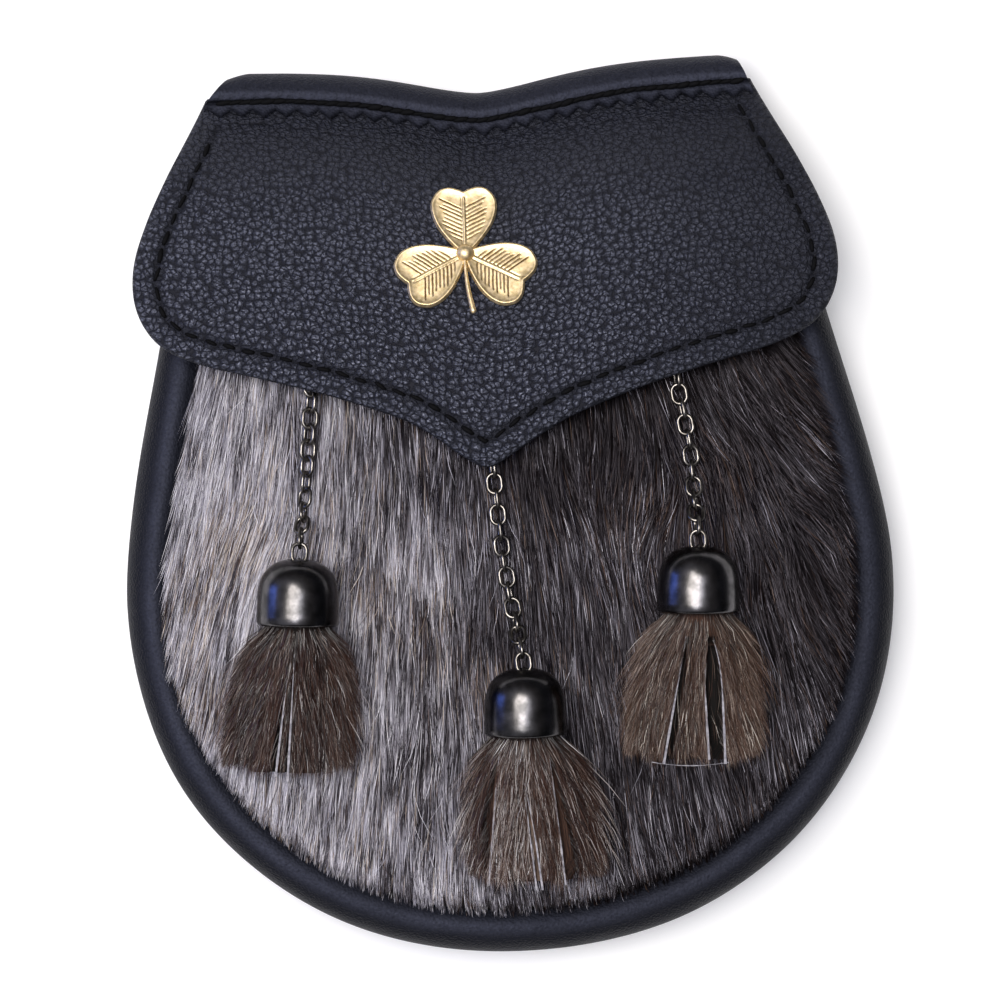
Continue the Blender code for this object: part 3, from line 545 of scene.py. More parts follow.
TAN_FUR = hair_material("tan_guard_hair", TAN_STOPS, Roughness=0.38, Specular_IOR_Level=0.3)
GREY_UNDERFUR = underfur("grey_underfur", GREY_UNDER_STOPS)
BROWN_UNDERFUR = underfur("brown_underfur", BROWN_UNDER_STOPS)


# ---------------------------------------------------------------- making pieces


def rows_of_faces(rows, columns, close_rows):
    """Four-sided faces between rows of points that go round."""
    r, c = np.meshgrid(np.arange(rows - (not close_rows)), np.arange(columns), indexing="ij")
    r2, c2 = (r + 1) % rows, (c + 1) % columns
    faces = (r * columns + c, r * columns + c2, r2 * columns + c2, r2 * columns + c)
    return np.stack(faces, -1).reshape(-1, 4)


class Shape:
    """Points and faces, in millimetres, that together become one piece."""

    def __init__(self):
        self.points, self.faces, self.count = [], [], 0

    def add(self, points, *faces):
        points = np.asarray(points, float).reshape(-1, 3)
        for group in faces:
            self.faces += (np.asarray(group) + self.count).tolist()
        self.points.append(points)
        self.count += len(points)
        return self

    def sweep(self, rings, close_path=False):
        """A skin through rings of points, with both ends capped unless it comes round to its start."""
        rings = np.asarray(rings, float)
        rows, columns = rings.shape[:2]
        faces = [rows_of_faces(rows, columns, close_path)]
        if not close_path:
            last = (rows - 1) * columns
            faces += [[list(range(columns))], [list(range(last, last + columns))[::-1]]]
        return self.add(rings, *faces)

    def slab(self, points, faces, stands, low, high):
        """A sheet between two heights over a filled outline."""
        rim, count = np.stack([stands, np.roll(stands, -1)], 1), len(points)
        both = [np.column_stack([points, height]) for height in (low, high)]
        wall = np.column_stack([rim, rim[:, ::-1] + count])
        return self.add(np.vstack(both), faces[:, ::-1], faces + count, wall)

    def wall(self, upper, lower):
        """Faces between two closed lines of points that are there already."""
        self.faces += np.stack([upper, lower, np.roll(lower, -1), np.roll(upper, -1)], 1).tolist()

    def bar(self, path, radius, sides=8, closed=False, up=(0, 0, 1)):
        """A round bar along a path; radius may differ from point to point."""
        path = np.asarray(path, float)
        if closed:
            along = unit(np.roll(path, -1, 0) - np.roll(path, 1, 0))
        else:
            along = unit(np.gradient(path, axis=0))
        side = unit(np.cross(along, np.asarray(up, float)))
        out = np.cross(side, along)
        turn = 2 * math.pi * np.arange(sides) / sides
        radius = np.broadcast_to(np.asarray(radius, float), (len(path),))[:, None, None]
        ring = side[:, None] * np.cos(turn)[:, None] + out[:, None] * np.sin(turn)[:, None]
        return self.sweep(path[:, None] + radius * ring, close_path=closed)

    def back_stitch(self, start, end, height, radius, arch):
        """One stitch on a face that looks back: it rises out of one hole and dips into the next."""
        t, out = np.linspace(0, 1, 7), (0.0, 0.0, -1.0)
        path = np.outer(1 - t, (*start, height)) + np.outer(t, (*end, height))
        path += np.outer(arch * (4 * t * (1 - t)) ** 0.6 - 0.5 * arch, out)
        self.bar(path, radius * (0.62 + 0.38 * np.sin(math.pi * t) ** 0.5), 7, up=out)

    def piece(self, name, finish, slot, *nodes, sharp_deg=None, turned=True):
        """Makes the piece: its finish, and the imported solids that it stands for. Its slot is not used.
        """
        mesh = bpy.data.meshes.new(name)
        mesh.from_pydata((np.vstack(self.points) * MM).tolist(), [], self.faces)
        mesh.update()
        mesh.shade_smooth()
        if sharp_deg:
            mesh.set_sharp_from_angle(angle=math.radians(sharp_deg))
        mesh.materials.append(finish)
        made = bpy.data.objects.new(name, mesh)
        bpy.context.scene.collection.objects.link(made)
        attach(made, "root")
        if nodes:
            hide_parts(*nodes)
        if turned:
            # All faces look outwards
            work = bmesh.new()
            work.from_mesh(mesh)
            bmesh.ops.recalc_face_normals(work, faces=work.faces)
            work.to_mesh(mesh)
            work.free()
        return made


def add_values(made, name, values):
    """Gives every point of a piece a number, or a place, for its material to read."""
    values = np.asarray(values, np.float32)
    kind, key = ("FLOAT", "value") if values.ndim == 1 else ("FLOAT_VECTOR", "vector")
    made.data.attributes.new(name, kind, "POINT").data.foreach_set(key, values.ravel())


def fill(edge, inner, step):
    """Triangles inside a closed flat line: an even lattice, kept off the line by inner mm.

    Returns the flat points, the triangles, and which point stands for each one of the line."""
    low, high = edge.min(0), edge.max(0)
    lattice = []
    for k, y in enumerate(np.arange(low[1], high[1], step * 0.866)):
        x = np.arange(low[0] + step / 2 * (k % 2), high[0], step)
        lattice.append(np.stack([x, np.full(len(x), y)], 1))
    lattice = np.vstack(lattice)
    distance, inside = past(lattice, edge, inward_of(edge))
    places = [Vector(p) for p in np.vstack([edge, lattice[(inside > 0) & (distance > inner)]])]
    count = len(edge)
    points, _, faces, origins, _, _ = delaunay_2d_cdt(places, [], [list(range(count))], 1, 1e-6)
    stands = np.zeros(count, int)
    for k, group in enumerate(origins):
        stands[[origin for origin in group if origin < count]] = k
    return np.array(points), np.array(faces), stands


# ---------------------------------------------------------------- the bag


def roll_arc(count):
    """Half of a squared circle, from the front to the back: (outward, height)."""
    turn = np.linspace(math.pi / 2, -math.pi / 2, count)
    power = 2 / ROLL_POWER
    return np.cos(turn).clip(0) ** power, np.sign(turn) * np.abs(np.sin(turn)) ** power


def gusset_section(depth):
    """(outward, height) round the wall: its outer side, the back seam's flat, its inner side."""
    across, rise = roll_arc(34)
    outer = np.stack([ROLL_WIDTH * (across - 1), depth / 2 * (1 + rise)], 1)
    middle = (depth - GUSSET_WALL + BACK_SEAM_THICK) / 2
    across, rise = roll_arc(9)
    height = middle + (depth - GUSSET_WALL - BACK_SEAM_THICK) / 2 * rise
    inner = np.stack([(ROLL_WIDTH - GUSSET_WALL) * across - ROLL_WIDTH, height], 1)
    # The front end of the roll dips to the seam that holds the fur
    for part in (outer, inner):
        front = part[:, 1] > depth / 2
        part[:, 1] -= SEAM_DROP * front * smooth(-6.0, -ROLL_WIDTH, part[:, 0]) ** 1.5
    seam = -ROLL_WIDTH - BACK_SEAM_FLAT
    back = [[seam + 0.4, 0.0], [seam, 0.4], [seam, BACK_SEAM_THICK - 0.4], [seam + 0.4, BACK_SEAM_THICK]]
    return np.vstack([outer, back, inner[::-1]])


def make_gusset():
    line, normals = body_line(GUSSET_TOP_Y, 1.6 * COARSE)
    rings, crown_highlight = [], []
    for k, (p, n) in enumerate(zip(line, normals)):
        at, depth = k * 1.6 * COARSE, body_depth(p[1])
        out, height = gusset_section(depth).T
        # Hand-rolled leather is never quite even
        swell = 0.25 * patchy(at, height, 26.0, 9.0, 11) * smooth(-ROLL_WIDTH, -6, out)
        rings.append(np.column_stack([p + n * (out + swell)[:, None], height]))
        # Its crown is painted paler than its sides and its seam, a little less on the right: a painted
        # highlight
        crown = hill(out + 6.3, 1.9) * (height > depth / 2)
        crown_highlight.append(crown * (0.72 - 0.06 * np.sign(p[0]) + 0.12 * patchy(at, out, 7.0, 2.0, 12)))
    shape = Shape().sweep(rings)
    made = shape.piece("gusset_leather", SMOOTH_LEATHER, "smooth_leather", "gusset", sharp_deg=60)
    add_values(made, "painted_highlight", np.concatenate(crown_highlight))

    stitches = Shape()
    seam, normals = body_line(GUSSET_TOP_Y - 2.0, 4.0)
    seam = seam - normals * (ROLL_WIDTH + 0.6)
    for a, b in zip(seam[:-1], seam[1:]):
        stitches.back_stitch(a + (b - a) * 0.1, a + (b - a) * 0.9, 0.1, 0.42, 0.25)
    stitches.piece("back_seam_stitches", THREAD, "smooth_leather")


def make_back_panel():
    line, normals = body_line(GUSSET_TOP_Y, 3.0)
    across = np.linspace(-BACK_TOP_HALF_WIDTH, BACK_TOP_HALF_WIDTH, 40)
    top = from_flap(np.stack([across, fold_top(across) - BACK_TOP_BELOW_FOLD], 1))
    points, faces, stands = fill(np.vstack([line - normals * (ROLL_WIDTH + 0.3), top]), 1.5, 3.0)
    low = BACK_Z + 0.2 + 0.18 * patchy(points[:, 0], points[:, 1], 24, 30, 5)
    shape = Shape().slab(points, faces, stands, low, np.full(len(points), BACK_Z + PANEL_WALL))
    shape.piece("back_leather", SMOOTH_LEATHER, "smooth_leather", "back_panel", sharp_deg=50)


def make_strap_loop(name, middle_x):
    """A flat band of leather, its two feet stitched to the back panel."""
    foot = LOOP_HALF_LENGTH - LOOP_FOOT
    tunnel = foot - LOOP_RAMP
    low = BACK_Z - 0.3 - LOOP_WALL
    half = [
        (tunnel - 1, LOOP_Z), (tunnel, LOOP_Z + 0.1), (foot, low - 0.1), (foot + 1, low),
        (LOOP_HALF_LENGTH, low),
    ]  # fmt: skip
    # Across the band: its edges are skived and rounded
    across = np.array([-1, -0.98, -0.93, -0.6, 0, 0.6, 0.93, 0.98, 1.0]) * LOOP_WIDTH / 2
    crown = np.array([0.42, 0.2, 0.04, 0, 0, 0, 0.04, 0.2, 0.42])
    rings = []
    for y, z in curve_through([(-y, z) for y, z in half[::-1]] + half, 4):
        under = [(middle_x + a, LOOP_Y + y, z + c * LOOP_WALL) for a, c in zip(across, crown)]
        over = [(middle_x + a, LOOP_Y + y, z + (1 - c) * LOOP_WALL) for a, c in zip(across, crown)]
        rings.append(under + over[::-1])
    Shape().sweep(rings).piece(
        f"strap_loop_leather_{name}", SMOOTH_LEATHER, "smooth_leather", f"strap_loop_{name}", sharp_deg=60
    )
    stitches = Shape()
    # Two rows of four stitches in each foot
    for end in (-1, 1):
        for row in (1.4, 3.8):
            y = LOOP_Y + end * (LOOP_HALF_LENGTH - row)
            for x in middle_x - 4.4 + 2.35 * np.arange(4):
                stitches.back_stitch((x, y), (x + 1.8, y), low, 0.35, 0.3)
    stitches.piece(f"strap_loop_stitches_{name}", THREAD, "smooth_leather")


# ---------------------------------------------------------------- the fur


UNDERFUR_BELOW, UNDERFUR_DIP, DIP_WIDTH = 0.9, 2.7, 8.0
PELT_HALF_WIDTH, PELT_LOW, PELT_HIGH = 80, -96, 58  # the box that holds all roots
LOCK_WIDTH, LOCK_LENGTH = 2.0, 8.0
GREY_TO_BROWN = 0.508  # where the brown half of the guard hair's colours starts


def underfur_height(x, y, inset):
    """Top of the dense coat under the guard hairs: it dips to the seam at its edge."""
    return fur_height(x, y) - UNDERFUR_BELOW - UNDERFUR_DIP * smooth(DIP_WIDTH, 0.0, inset)


# Light and dark patches of the pelt, and at (-33, -17) a painted shadow beside the left bell: (x, y,
# half-width, half-height, change of tone)
PELT_PATCHES_AND_BELL_SHADOW = (
    (-21, -13, 7, 12, 0.30), (-33, -17, 6, 9, -0.22), (-4, -31, 8, 7, -0.26), (-17, -35, 8, 6, -0.20),
    (14, 7, 22, 10, -0.22), (23, -14, 9, 7, 0.26), (41, -3, 7, 12, 0.20), (60, -20, 8, 10, -0.18),
    (66, 16, 9, 16, -0.14), (-10, -8, 7, 9, -0.14), (41, -74, 12, 13, 0.16), (-46, -80, 26, 13, 0.08),
    (-30, -66, 9, 13, -0.18), (4, -88, 26, 9, 0.20), (-66, -62, 12, 10, 0.14), (-70, 10, 6, 15, 0.16),
    (-43, 19, 8, 11, -0.20), (-26, 17, 8, 9, -0.28), (-18, 5, 9, 6, -0.20), (-47, -66, 5, 13, -0.16),
    (26, -46, 28, 28, 0.12), (-60, -25, 14, 20, 0.06),
)  # fmt: skip
# Where the hair is brown and not grey: (x, y, half-width, half-height, more of it)
BROWN_PATCHES = (
    (-62, 2, 9, 8, 0.45), (-70, -14, 8, 6, 0.3), (-68, -34, 10, 6, 0.4), (-31, -12, 6, 7, 0.3),
    (-19, -22, 7, 6, 0.25), (-6, -33, 8, 6, 0.5), (50, 12, 8, 9, 0.6), (22, 9, 14, 8, 0.6),
    (38, 3, 9, 8, 0.4), (66, -20, 9, 8, 0.4), (-58, -72, 12, 8, 0.2), (66, 24, 12, 12, 0.3),
)  # fmt: skip
# Where the hair is turned aside: (x, y, half-width, half-height, degrees to the right)
PELT_SWIRLS = (
    (-58, -2, 15, 16, -9), (30, 12, 9, 10, -20), (52, 22, 10, 9, 26), (66, 4, 9, 12, 14),
    (58, -18, 8, 9, -12), (74, -22, 8, 10, 16), (38, 0, 6, 6, -34), (14, 4, 9, 8, 14),
)  # fmt: skip


def patches(table, x, y):
    """Sum of soft round patches at each place."""
    total = 0.0
    for px, py, wide, high, change in table:
        total = total + change * np.exp(-(((x - px) / wide) ** 2 + ((y - py) / high) ** 2))
    return total


def pelt_tone(x, y):
    """How light the pelt is, from 0 to 1, with a painted shadow beside the left bell."""
    tone = 0.745 - 0.66 * smooth(-50, 31, x) + patches(PELT_PATCHES_AND_BELL_SHADOW, x, y)
    lane = x + 0.2 * y * np.sign(x)
    cloud = 0.11 * patchy(x, y, 8, 9, 31) + 0.09 * patchy(x, y, 4, 5, 37)
    return tone + cloud + 0.06 * patchy(lane, y, 3.0, 12, 32) + 0.04 * patchy(lane, y, 1.1, 8, 33)


def pelt_brown(x, y):
    """Share of the hairs that are brown."""
    return 0.07 + 0.20 * smooth(-10, 40, x) + patches(BROWN_PATCHES, x, y) + 0.12 * patchy(x, y, 5, 12, 34)


def pelt_flow(x, y):
    """Which way the hair lies, in degrees from straight down, positive to the right."""
    fan = 15.0 * x / 75.0
    upper_right = 14.0 * smooth(18, 78, x) * smooth(-45, 25, y)
    restless = 4.0 + 9.0 * smooth(5, 50, x) * smooth(-60, 0, y)
    turned = patches(PELT_SWIRLS, x, y) + restless * patchy(x, y, 11, 13, 41)
    return fan + upper_right + turned + 3.0 * patchy(x, y, 5, 9, 42)


def comb_back(x, y):
    """Where each hair's line of flow starts, along the pelt's top: the place across the hair."""
    x, y = np.array(x, float), np.array(y, float)
    steps = 30
    stride = (MOUTH_Y - y) / steps
    for _ in range(steps):
        x = x - np.tan(np.radians(pelt_flow(x, y))) * stride
        y = y + stride
    return x


def make_hide():
    line, normals = body_line(MOUTH_Y, 3.0)
    edge = line - normals * (ROLL_WIDTH + 0.2)
    edge = np.vstack([edge, np.linspace(edge[-1], edge[0], 40)[1:-1]])
    points, faces, stands = fill(edge, 1.0, 1.6 * COARSE)
    x, y = points.T
    distance, _ = nearest(points, even_points(edge, 0.5, closed=True))
    top = underfur_height(x, y, distance) + 0.3 * patchy(x, y, 2.4, 5.0, 21)
    low = np.minimum(fur_height(x, y) - FRONT_THICK - 1.0, top - 0.5)
    shape = Shape().slab(points, faces, stands, low, top)
    made = shape.piece("front_underfur", GREY_UNDERFUR, "grey_fur", "front_panel", sharp_deg=50)
    # The coat is painted darker within 3 mm of its edge: painted shade along the seam with the gusset
    tone = pelt_tone(x, y) * 0.88 - 0.05 - 0.4 * smooth(3.0, 0.0, distance)
    combed = np.column_stack([comb_back(x, y), y, 0 * x]) * MM
    add_values(made, "tone", np.concatenate([0 * x, tone]))
    add_values(made, "combed", np.vstack([combed, combed]))


def flat_sides(spine, rng):
    """The way across each hair's ribbon, which lies nearly flat."""
    along = unit(spine[:, -1] - spine[:, 0])
    side = unit(np.cross(along, (0.0, 0.0, 1.0)))
    roll = rng.normal(0, 0.6, len(spine))[:, None]
    return side * np.cos(roll) + np.cross(side, along) * np.sin(roll)


def add_hair(name, spine, half_width, side, tone, finish, slot):
    """Hairs as tapered ribbons. spine is (hairs, stations, 3) from root to tip."""
    count, stations = spine.shape[:2]
    taper = np.array({3: (0.7, 1.0), 4: (0.8, 1.0, 0.75)}[stations])
    offset = side[:, None] * (half_width[:, None] * taper)[:, :, None]
    body = np.stack([spine[:, :-1] - offset, spine[:, :-1] + offset], 2).reshape(count, -1, 3)
    points = np.concatenate([body, spine[:, -1:]], 1)
    per_hair = points.shape[1]
    pattern = []
    for a in range(0, per_hair - 3, 2):
        pattern += [(a, a + 1, a + 3), (a, a + 3, a + 2)]
    pattern = np.array([*pattern, (per_hair - 3, per_hair - 2, per_hair - 1)])
    faces = (pattern[None] + (np.arange(count) * per_hair)[:, None, None]).reshape(-1, 3)
    made = Shape().add(points, faces).piece(name, finish, slot, turned=False)
    # The map: u is the hair's tone, with a little width, and v runs from root to tip
    v = np.append(np.repeat(np.linspace(0, 1, stations)[:-1], 2), 1.0)
    u = np.append(np.tile([-0.002, 0.002], stations - 1), 0.0)
    u = np.clip(tone, 0.003, 0.997)[:, None] + u[None]
    places = np.stack([u, np.broadcast_to(v, u.shape)], -1).reshape(-1, 2)
    layer = made.data.uv_layers.new(name="OFBake")
    layer.uv.foreach_set("vector", places[faces.reshape(-1)].astype(np.float32).ravel())


# (kind, hairs, mean length, spread of length, stations, raised, half-width from, to)
COATS = (
    ("down", 62000, 9.0, 2.0, 3, 0.0, 0.06, 0.11),
    ("guard", 62000, 14.0, 2.8, 4, 0.35, 0.045, 0.085),
)


def make_fur():
    rng = np.random.default_rng(7)
    seam, normals = body_line(MOUTH_Y + 20, 0.5)
    seam = seam - normals * (ROLL_WIDTH + 0.1)
    for kind, hairs, mean_length, spread, stations, raised, thin, thick in COATS:
        count = int(hairs / COARSE**2)
        x = rng.uniform(-PELT_HALF_WIDTH, PELT_HALF_WIDTH, count * 2)
        y = rng.uniform(PELT_LOW, PELT_HIGH, count * 2)
        inset = -past(np.stack([x, y], 1), seam, normals)[1]
        # Hardly any hair is needed far under the flap
        across, up = to_flap(np.stack([x, y], 1)).T
        edge_up = np.interp(np.abs(across), *np.array([p for p in FLAP_EDGE[::-1] if p[0] < 80]).T)
        under_flap = smooth(8.0, 16.0, up - edge_up)
        keep = (inset > 0.2) & (rng.uniform(0, 1, len(x)) > 0.93 * under_flap)
        x, y, inset = x[keep][:count], y[keep][:count], inset[keep][:count]
        count = len(x)
        root = np.stack([x, y], 1)

        flow = np.radians(pelt_flow(x, y) + rng.normal(0, 1.3, count))
        down = np.stack([np.sin(flow), -np.cos(flow)], 1)
        length = rng.normal(mean_length, spread, count).clip(5, 24)
        # Hair that would lie far over the roll is cut short
        over = past(root + down * length[:, None], seam, normals)[1]
        length = np.maximum(2.0, length - np.maximum(0.0, over - rng.uniform(-1.2, 1.2, count)) * 1.4)

        # Hairs of one strand share their tone, where they show
        shown_x, shown_y = x + down[:, 0] * 0.7 * length, y + down[:, 1] * 0.7 * length
        mean = pelt_tone(shown_x, shown_y).clip(0.02, 1)
        lane = comb_back(shown_x, shown_y)
        strand = 0.7 * patchy(lane, shown_y, 0.3, 5, 35) + 0.25 * patchy(lane, shown_y, 0.9, 8, 36)
        if kind == "guard":
            light = rng.uniform(0, 1, count) < mean * (0.85 + 1.1 * strand) + 0.02
            bright, dark = mean * 0.33 + 0.64, mean**2 * 0.58
            bright = bright + rng.normal(0, 0.12, count)
            tone = np.where(light, bright, dark + rng.normal(0.0, 0.05, count))
        else:
            tone = mean * (0.85 + 0.45 * strand) + rng.normal(0, 0.07, count)
        # The first half of the colour range is grey, the second half brown
        brown = rng.uniform(0, 1, count) < pelt_brown(x, y)
        tone = np.where(brown, tone * (1 - 0.35 * smooth(-20, 20, x)), tone)
        tone = tone.clip(0.01, 0.99) * 0.49 + np.where(brown, GREY_TO_BROWN, 0.002)
        half_width = rng.uniform(thin, thick, count)

        # Locks: the tips of neighbouring hairs draw together
        jitter = rng.uniform(-0.4, 0.4, (256, 256, 2))
        i = np.floor(x / LOCK_WIDTH).astype(int)
        j = np.floor(y / LOCK_LENGTH + 0.37 * (i % 2)).astype(int)
        own_x, own_curl = jitter[i % 256, j % 256].T
        draw = ((i + 0.5 + own_x) * LOCK_WIDTH - x) * rng.uniform(0.05, 0.6, count)
        lift = 0.35 * patchy(x, y, 1.6, 7.0, 51) + 0.45 * patchy(x, y, 7.0, 11.0, 52)
        curl = 0.06 * own_curl / 0.4 * (1 + 2.5 * smooth(20, 60, x) * smooth(-50, 10, y))
        bend = rng.normal(0, 0.03, count) + curl
        wisp = (kind == "guard") & (rng.uniform(0, 1, count) < 0.02) & (inset > 12)
        bend = np.where(wisp, rng.normal(0, 0.22, count), bend)
        side_way = np.stack([-down[:, 1], down[:, 0]], 1)
        edge_dip = 1.9 * smooth(6.0, -0.5, inset)
        start = underfur_height(x, y, inset) - 0.3
        own_rise = rng.normal(0, 0.18, count)
        spine = np.zeros((count, stations, 3))
        for k, share in enumerate(np.linspace(0, 1, stations)):
            place = root + down * (length * share)[:, None]
            place = place + side_way * (bend * length * share**2)[:, None]
            place[:, 0] += draw * share
            top = fur_height(place[:, 0], place[:, 1]) - 0.25 + lift + raised + own_rise
            # Beyond the seam, the hair rests on the roll
            rise = 1 - (1 - share) ** 2.5
            height = start * (1 - rise) + (top - edge_dip * (1 - share)) * rise
            height += np.where(wisp, 0.9 * share**2, 0.0)
            spine[:, k] = np.column_stack([place, height])
        side = flat_sides(spine, rng)
        parts = (("left", x < -22), ("middle", (x >= -22) & (x < 24)), ("right", x >= 24))
        for part, chosen in parts:
            hair = spine[chosen], half_width[chosen], side[chosen], tone[chosen]
            add_hair(f"front_{kind}_hair_{part}", *hair, GREY_FUR, "grey_fur")


# ---------------------------------------------------------------- the flap and its hinge


def flap_outline(step):
    half = curve_through(FLAP_EDGE, 12)
    corner = FLAP_EDGE[0][0]
    across = np.linspace(-corner, corner, 80)[1:-1]
    top = np.stack([across, fold_top(across) - FLAP_TOP_BELOW_FOLD], 1)
    sides = np.vstack([half, half[-2::-1] * (-1, 1)])
    sides[:, 0] += FLAP_TIP_ASIDE * smooth(FLAP_TIP_FROM, FLAP_TIP_TO, sides[:, 1])
    return even_points(np.vstack([sides, top]), step, closed=True)


def inset_line(edge, inset):
    """The line that runs inside a closed edge at that distance."""
    line = edge + inward_of(edge) * inset
    return line[nearest(line, edge)[0] > inset * 0.985]


def make_flap():
    step = 0.8 * COARSE
    edge = flap_outline(step)
    inward = inward_of(edge)
    points, faces, stands = fill(edge + inward * 0.45, step * 0.8, step)
    across, up = points.T
    below = fold_top(across) - up
    dense_edge = flap_outline(0.2)
    distance, _ = nearest(points, dense_edge)
    seam = inset_line(dense_edge, FLAP_STITCH_INSET)
    from_fold = fold_top(seam[:, 0]) - seam[:, 1]
    groove = hill(nearest(points, seam[from_fold > 13.0])[0], 0.95)

    # Soft rises of the hide, its stitched furrow and its edge rolled under
    height = flap_height(across, below) + FLAP_WALL
    height = height + 0.22 * patchy(across, up, 14, 9, 65) + 0.12 * patchy(across, up, 4, 3, 66)
    height -= 0.75 * groove
    height -= 0.4 * smooth(1.4, 0.3, distance)
    shape = Shape().add(np.column_stack([from_flap(points), height]), faces)

    # The cut edge, then the underside
    low_points, low_faces, low_stands = fill(edge + inward * 0.4, 2.0, 3.2)
    edge_low = flap_height(edge[:, 0], fold_top(edge[:, 0]) - edge[:, 1])
    start, n = shape.count, len(edge)
    for inset, rise in ((0.12, FLAP_WALL - 0.75), (0.0, FLAP_WALL * 0.5), (0.1, 0.35)):
        shape.add(np.column_stack([from_flap(edge + inward * inset), edge_low + rise]))
    low = flap_height(low_points[:, 0], fold_top(low_points[:, 0]) - low_points[:, 1])
    shape.add(np.column_stack([from_flap(low_points), low]))
    rings = [stands] + [start + k * n + np.arange(n) for k in range(3)] + [start + 3 * n + low_stands]
    for upper, lower in zip(rings[:-1], rings[1:]):
        shape.wall(upper, lower)
    shape.faces += (low_faces[:, ::-1] + start + 3 * n).tolist()
    made = shape.piece("flap_leather", PEBBLED_LEATHER, "pebbled_leather", "flap")
    painted_shade = np.full(shape.count, 0.7)
    # The flap is painted darker, with less contrast in its grain, towards the fold and the right side:
    # painted shade
    fold_and_right_shade = 0.36 * smooth(42.0, 16.0, below) + 0.36 * smooth(20.0, 78.0, across)
    painted_shade[: len(points)] = np.maximum(groove, fold_and_right_shade)
    add_values(made, "painted_shade", painted_shade)
    # The hide laid flat: the distance down the flap is measured along its rise
    rows = np.linspace(0.0, 110.0, 441)
    lengths = np.hypot(np.diff(rows), np.diff(read_table(FLAP_RISE, rows)))
    places = to_flap(np.vstack(shape.points)[:, :2])
    down = fold_top(places[:, 0]) - places[:, 1]
    down = np.interp(down, rows, np.concatenate([[0.0], np.cumsum(lengths)]))
    add_values(made, "laid_flat", np.column_stack([places[:, 0] / 1.12, -down, 0 * down]) * MM)

    # Saddle stitches in the groove
    keep = from_fold > 12.5
    first = int(np.argmax(keep & ~np.roll(keep, 1)))
    places = even_points(np.roll(seam, -first, 0)[: int(keep.sum())], FLAP_STITCH_PITCH / 6)
    stitches = Shape()
    rng = np.random.default_rng(71)
    t = np.linspace(0, 1, 5)
    for k in range(0, len(places) - 6, 6):
        run = places[k : k + 5] + rng.normal(0, 0.14, 2)
        run = run + np.outer(np.linspace(-0.5, 0.5, 5), rng.normal(0, 0.3, 2))
        base = flap_height(run[:, 0], fold_top(run[:, 0]) - run[:, 1]) + FLAP_WALL - 0.30
        z = base + 0.3 * (4 * t * (1 - t)) ** 0.5 - 0.3
        radius = rng.uniform(0.42, 0.62) * (0.6 + 0.4 * np.sin(math.pi * t) ** 0.5)
        stitches.bar(np.column_stack([from_flap(run), z]), radius, 8)
    stitches.piece("flap_stitches", THREAD, "pebbled_leather")


def strip_end(share):
    """Half-width at the top of the fold and slant of the strip's end on that side."""
    return (LEFT_END, LEFT_SLANT) if share < 0 else (RIGHT_END, RIGHT_SLANT)


def strip_place(share, below):
    """Flat place on the strip, at a share of its half-width and a distance below the fold's top."""
    end, slant = strip_end(share)
    across = share * np.minimum(end + slant * np.maximum(0.0, below), STRIP_HALF_WIDTH)
    return from_flap(np.stack([across, fold_top(end * share) - below], 1))


def seam_line(across):
    """How far below the fold's top the strip's seam runs: it wanders a little."""
    return STRIP_STITCH_BELOW + 0.25 * patchy(across, 0.0, 9.0, 1.0, 83)


def strip_front(share, below):
    """Place and height of the strip's outer face over the flap, sunk along its seam."""
    end, _ = strip_end(share)
    across = end * share
    height = flap_height(across, below) + FLAP_WALL + STRIP_WALL + STRIP_LIFT * (1 + share**6)
    # A puffed fold above the seam, a furrow along it, and a thin margin below it
    from_seam = below - seam_line(across)
    height = height - 0.8 * smooth(-0.5, 0.6, from_seam) + 0.7 * hill(from_seam + 1.6, 1.8)
    height -= 0.9 * hill(from_seam, 0.55)
    pull = 0.5 + 0.5 * math.cos(2 * math.pi * across / STRIP_STITCH_PITCH)
    height -= 0.4 * pull * hill(from_seam + 0.8, 0.8)
    height += 0.16 * patchy(across, below, 3.5, 2.2, 82)
    return np.column_stack([strip_place(share, below), height])


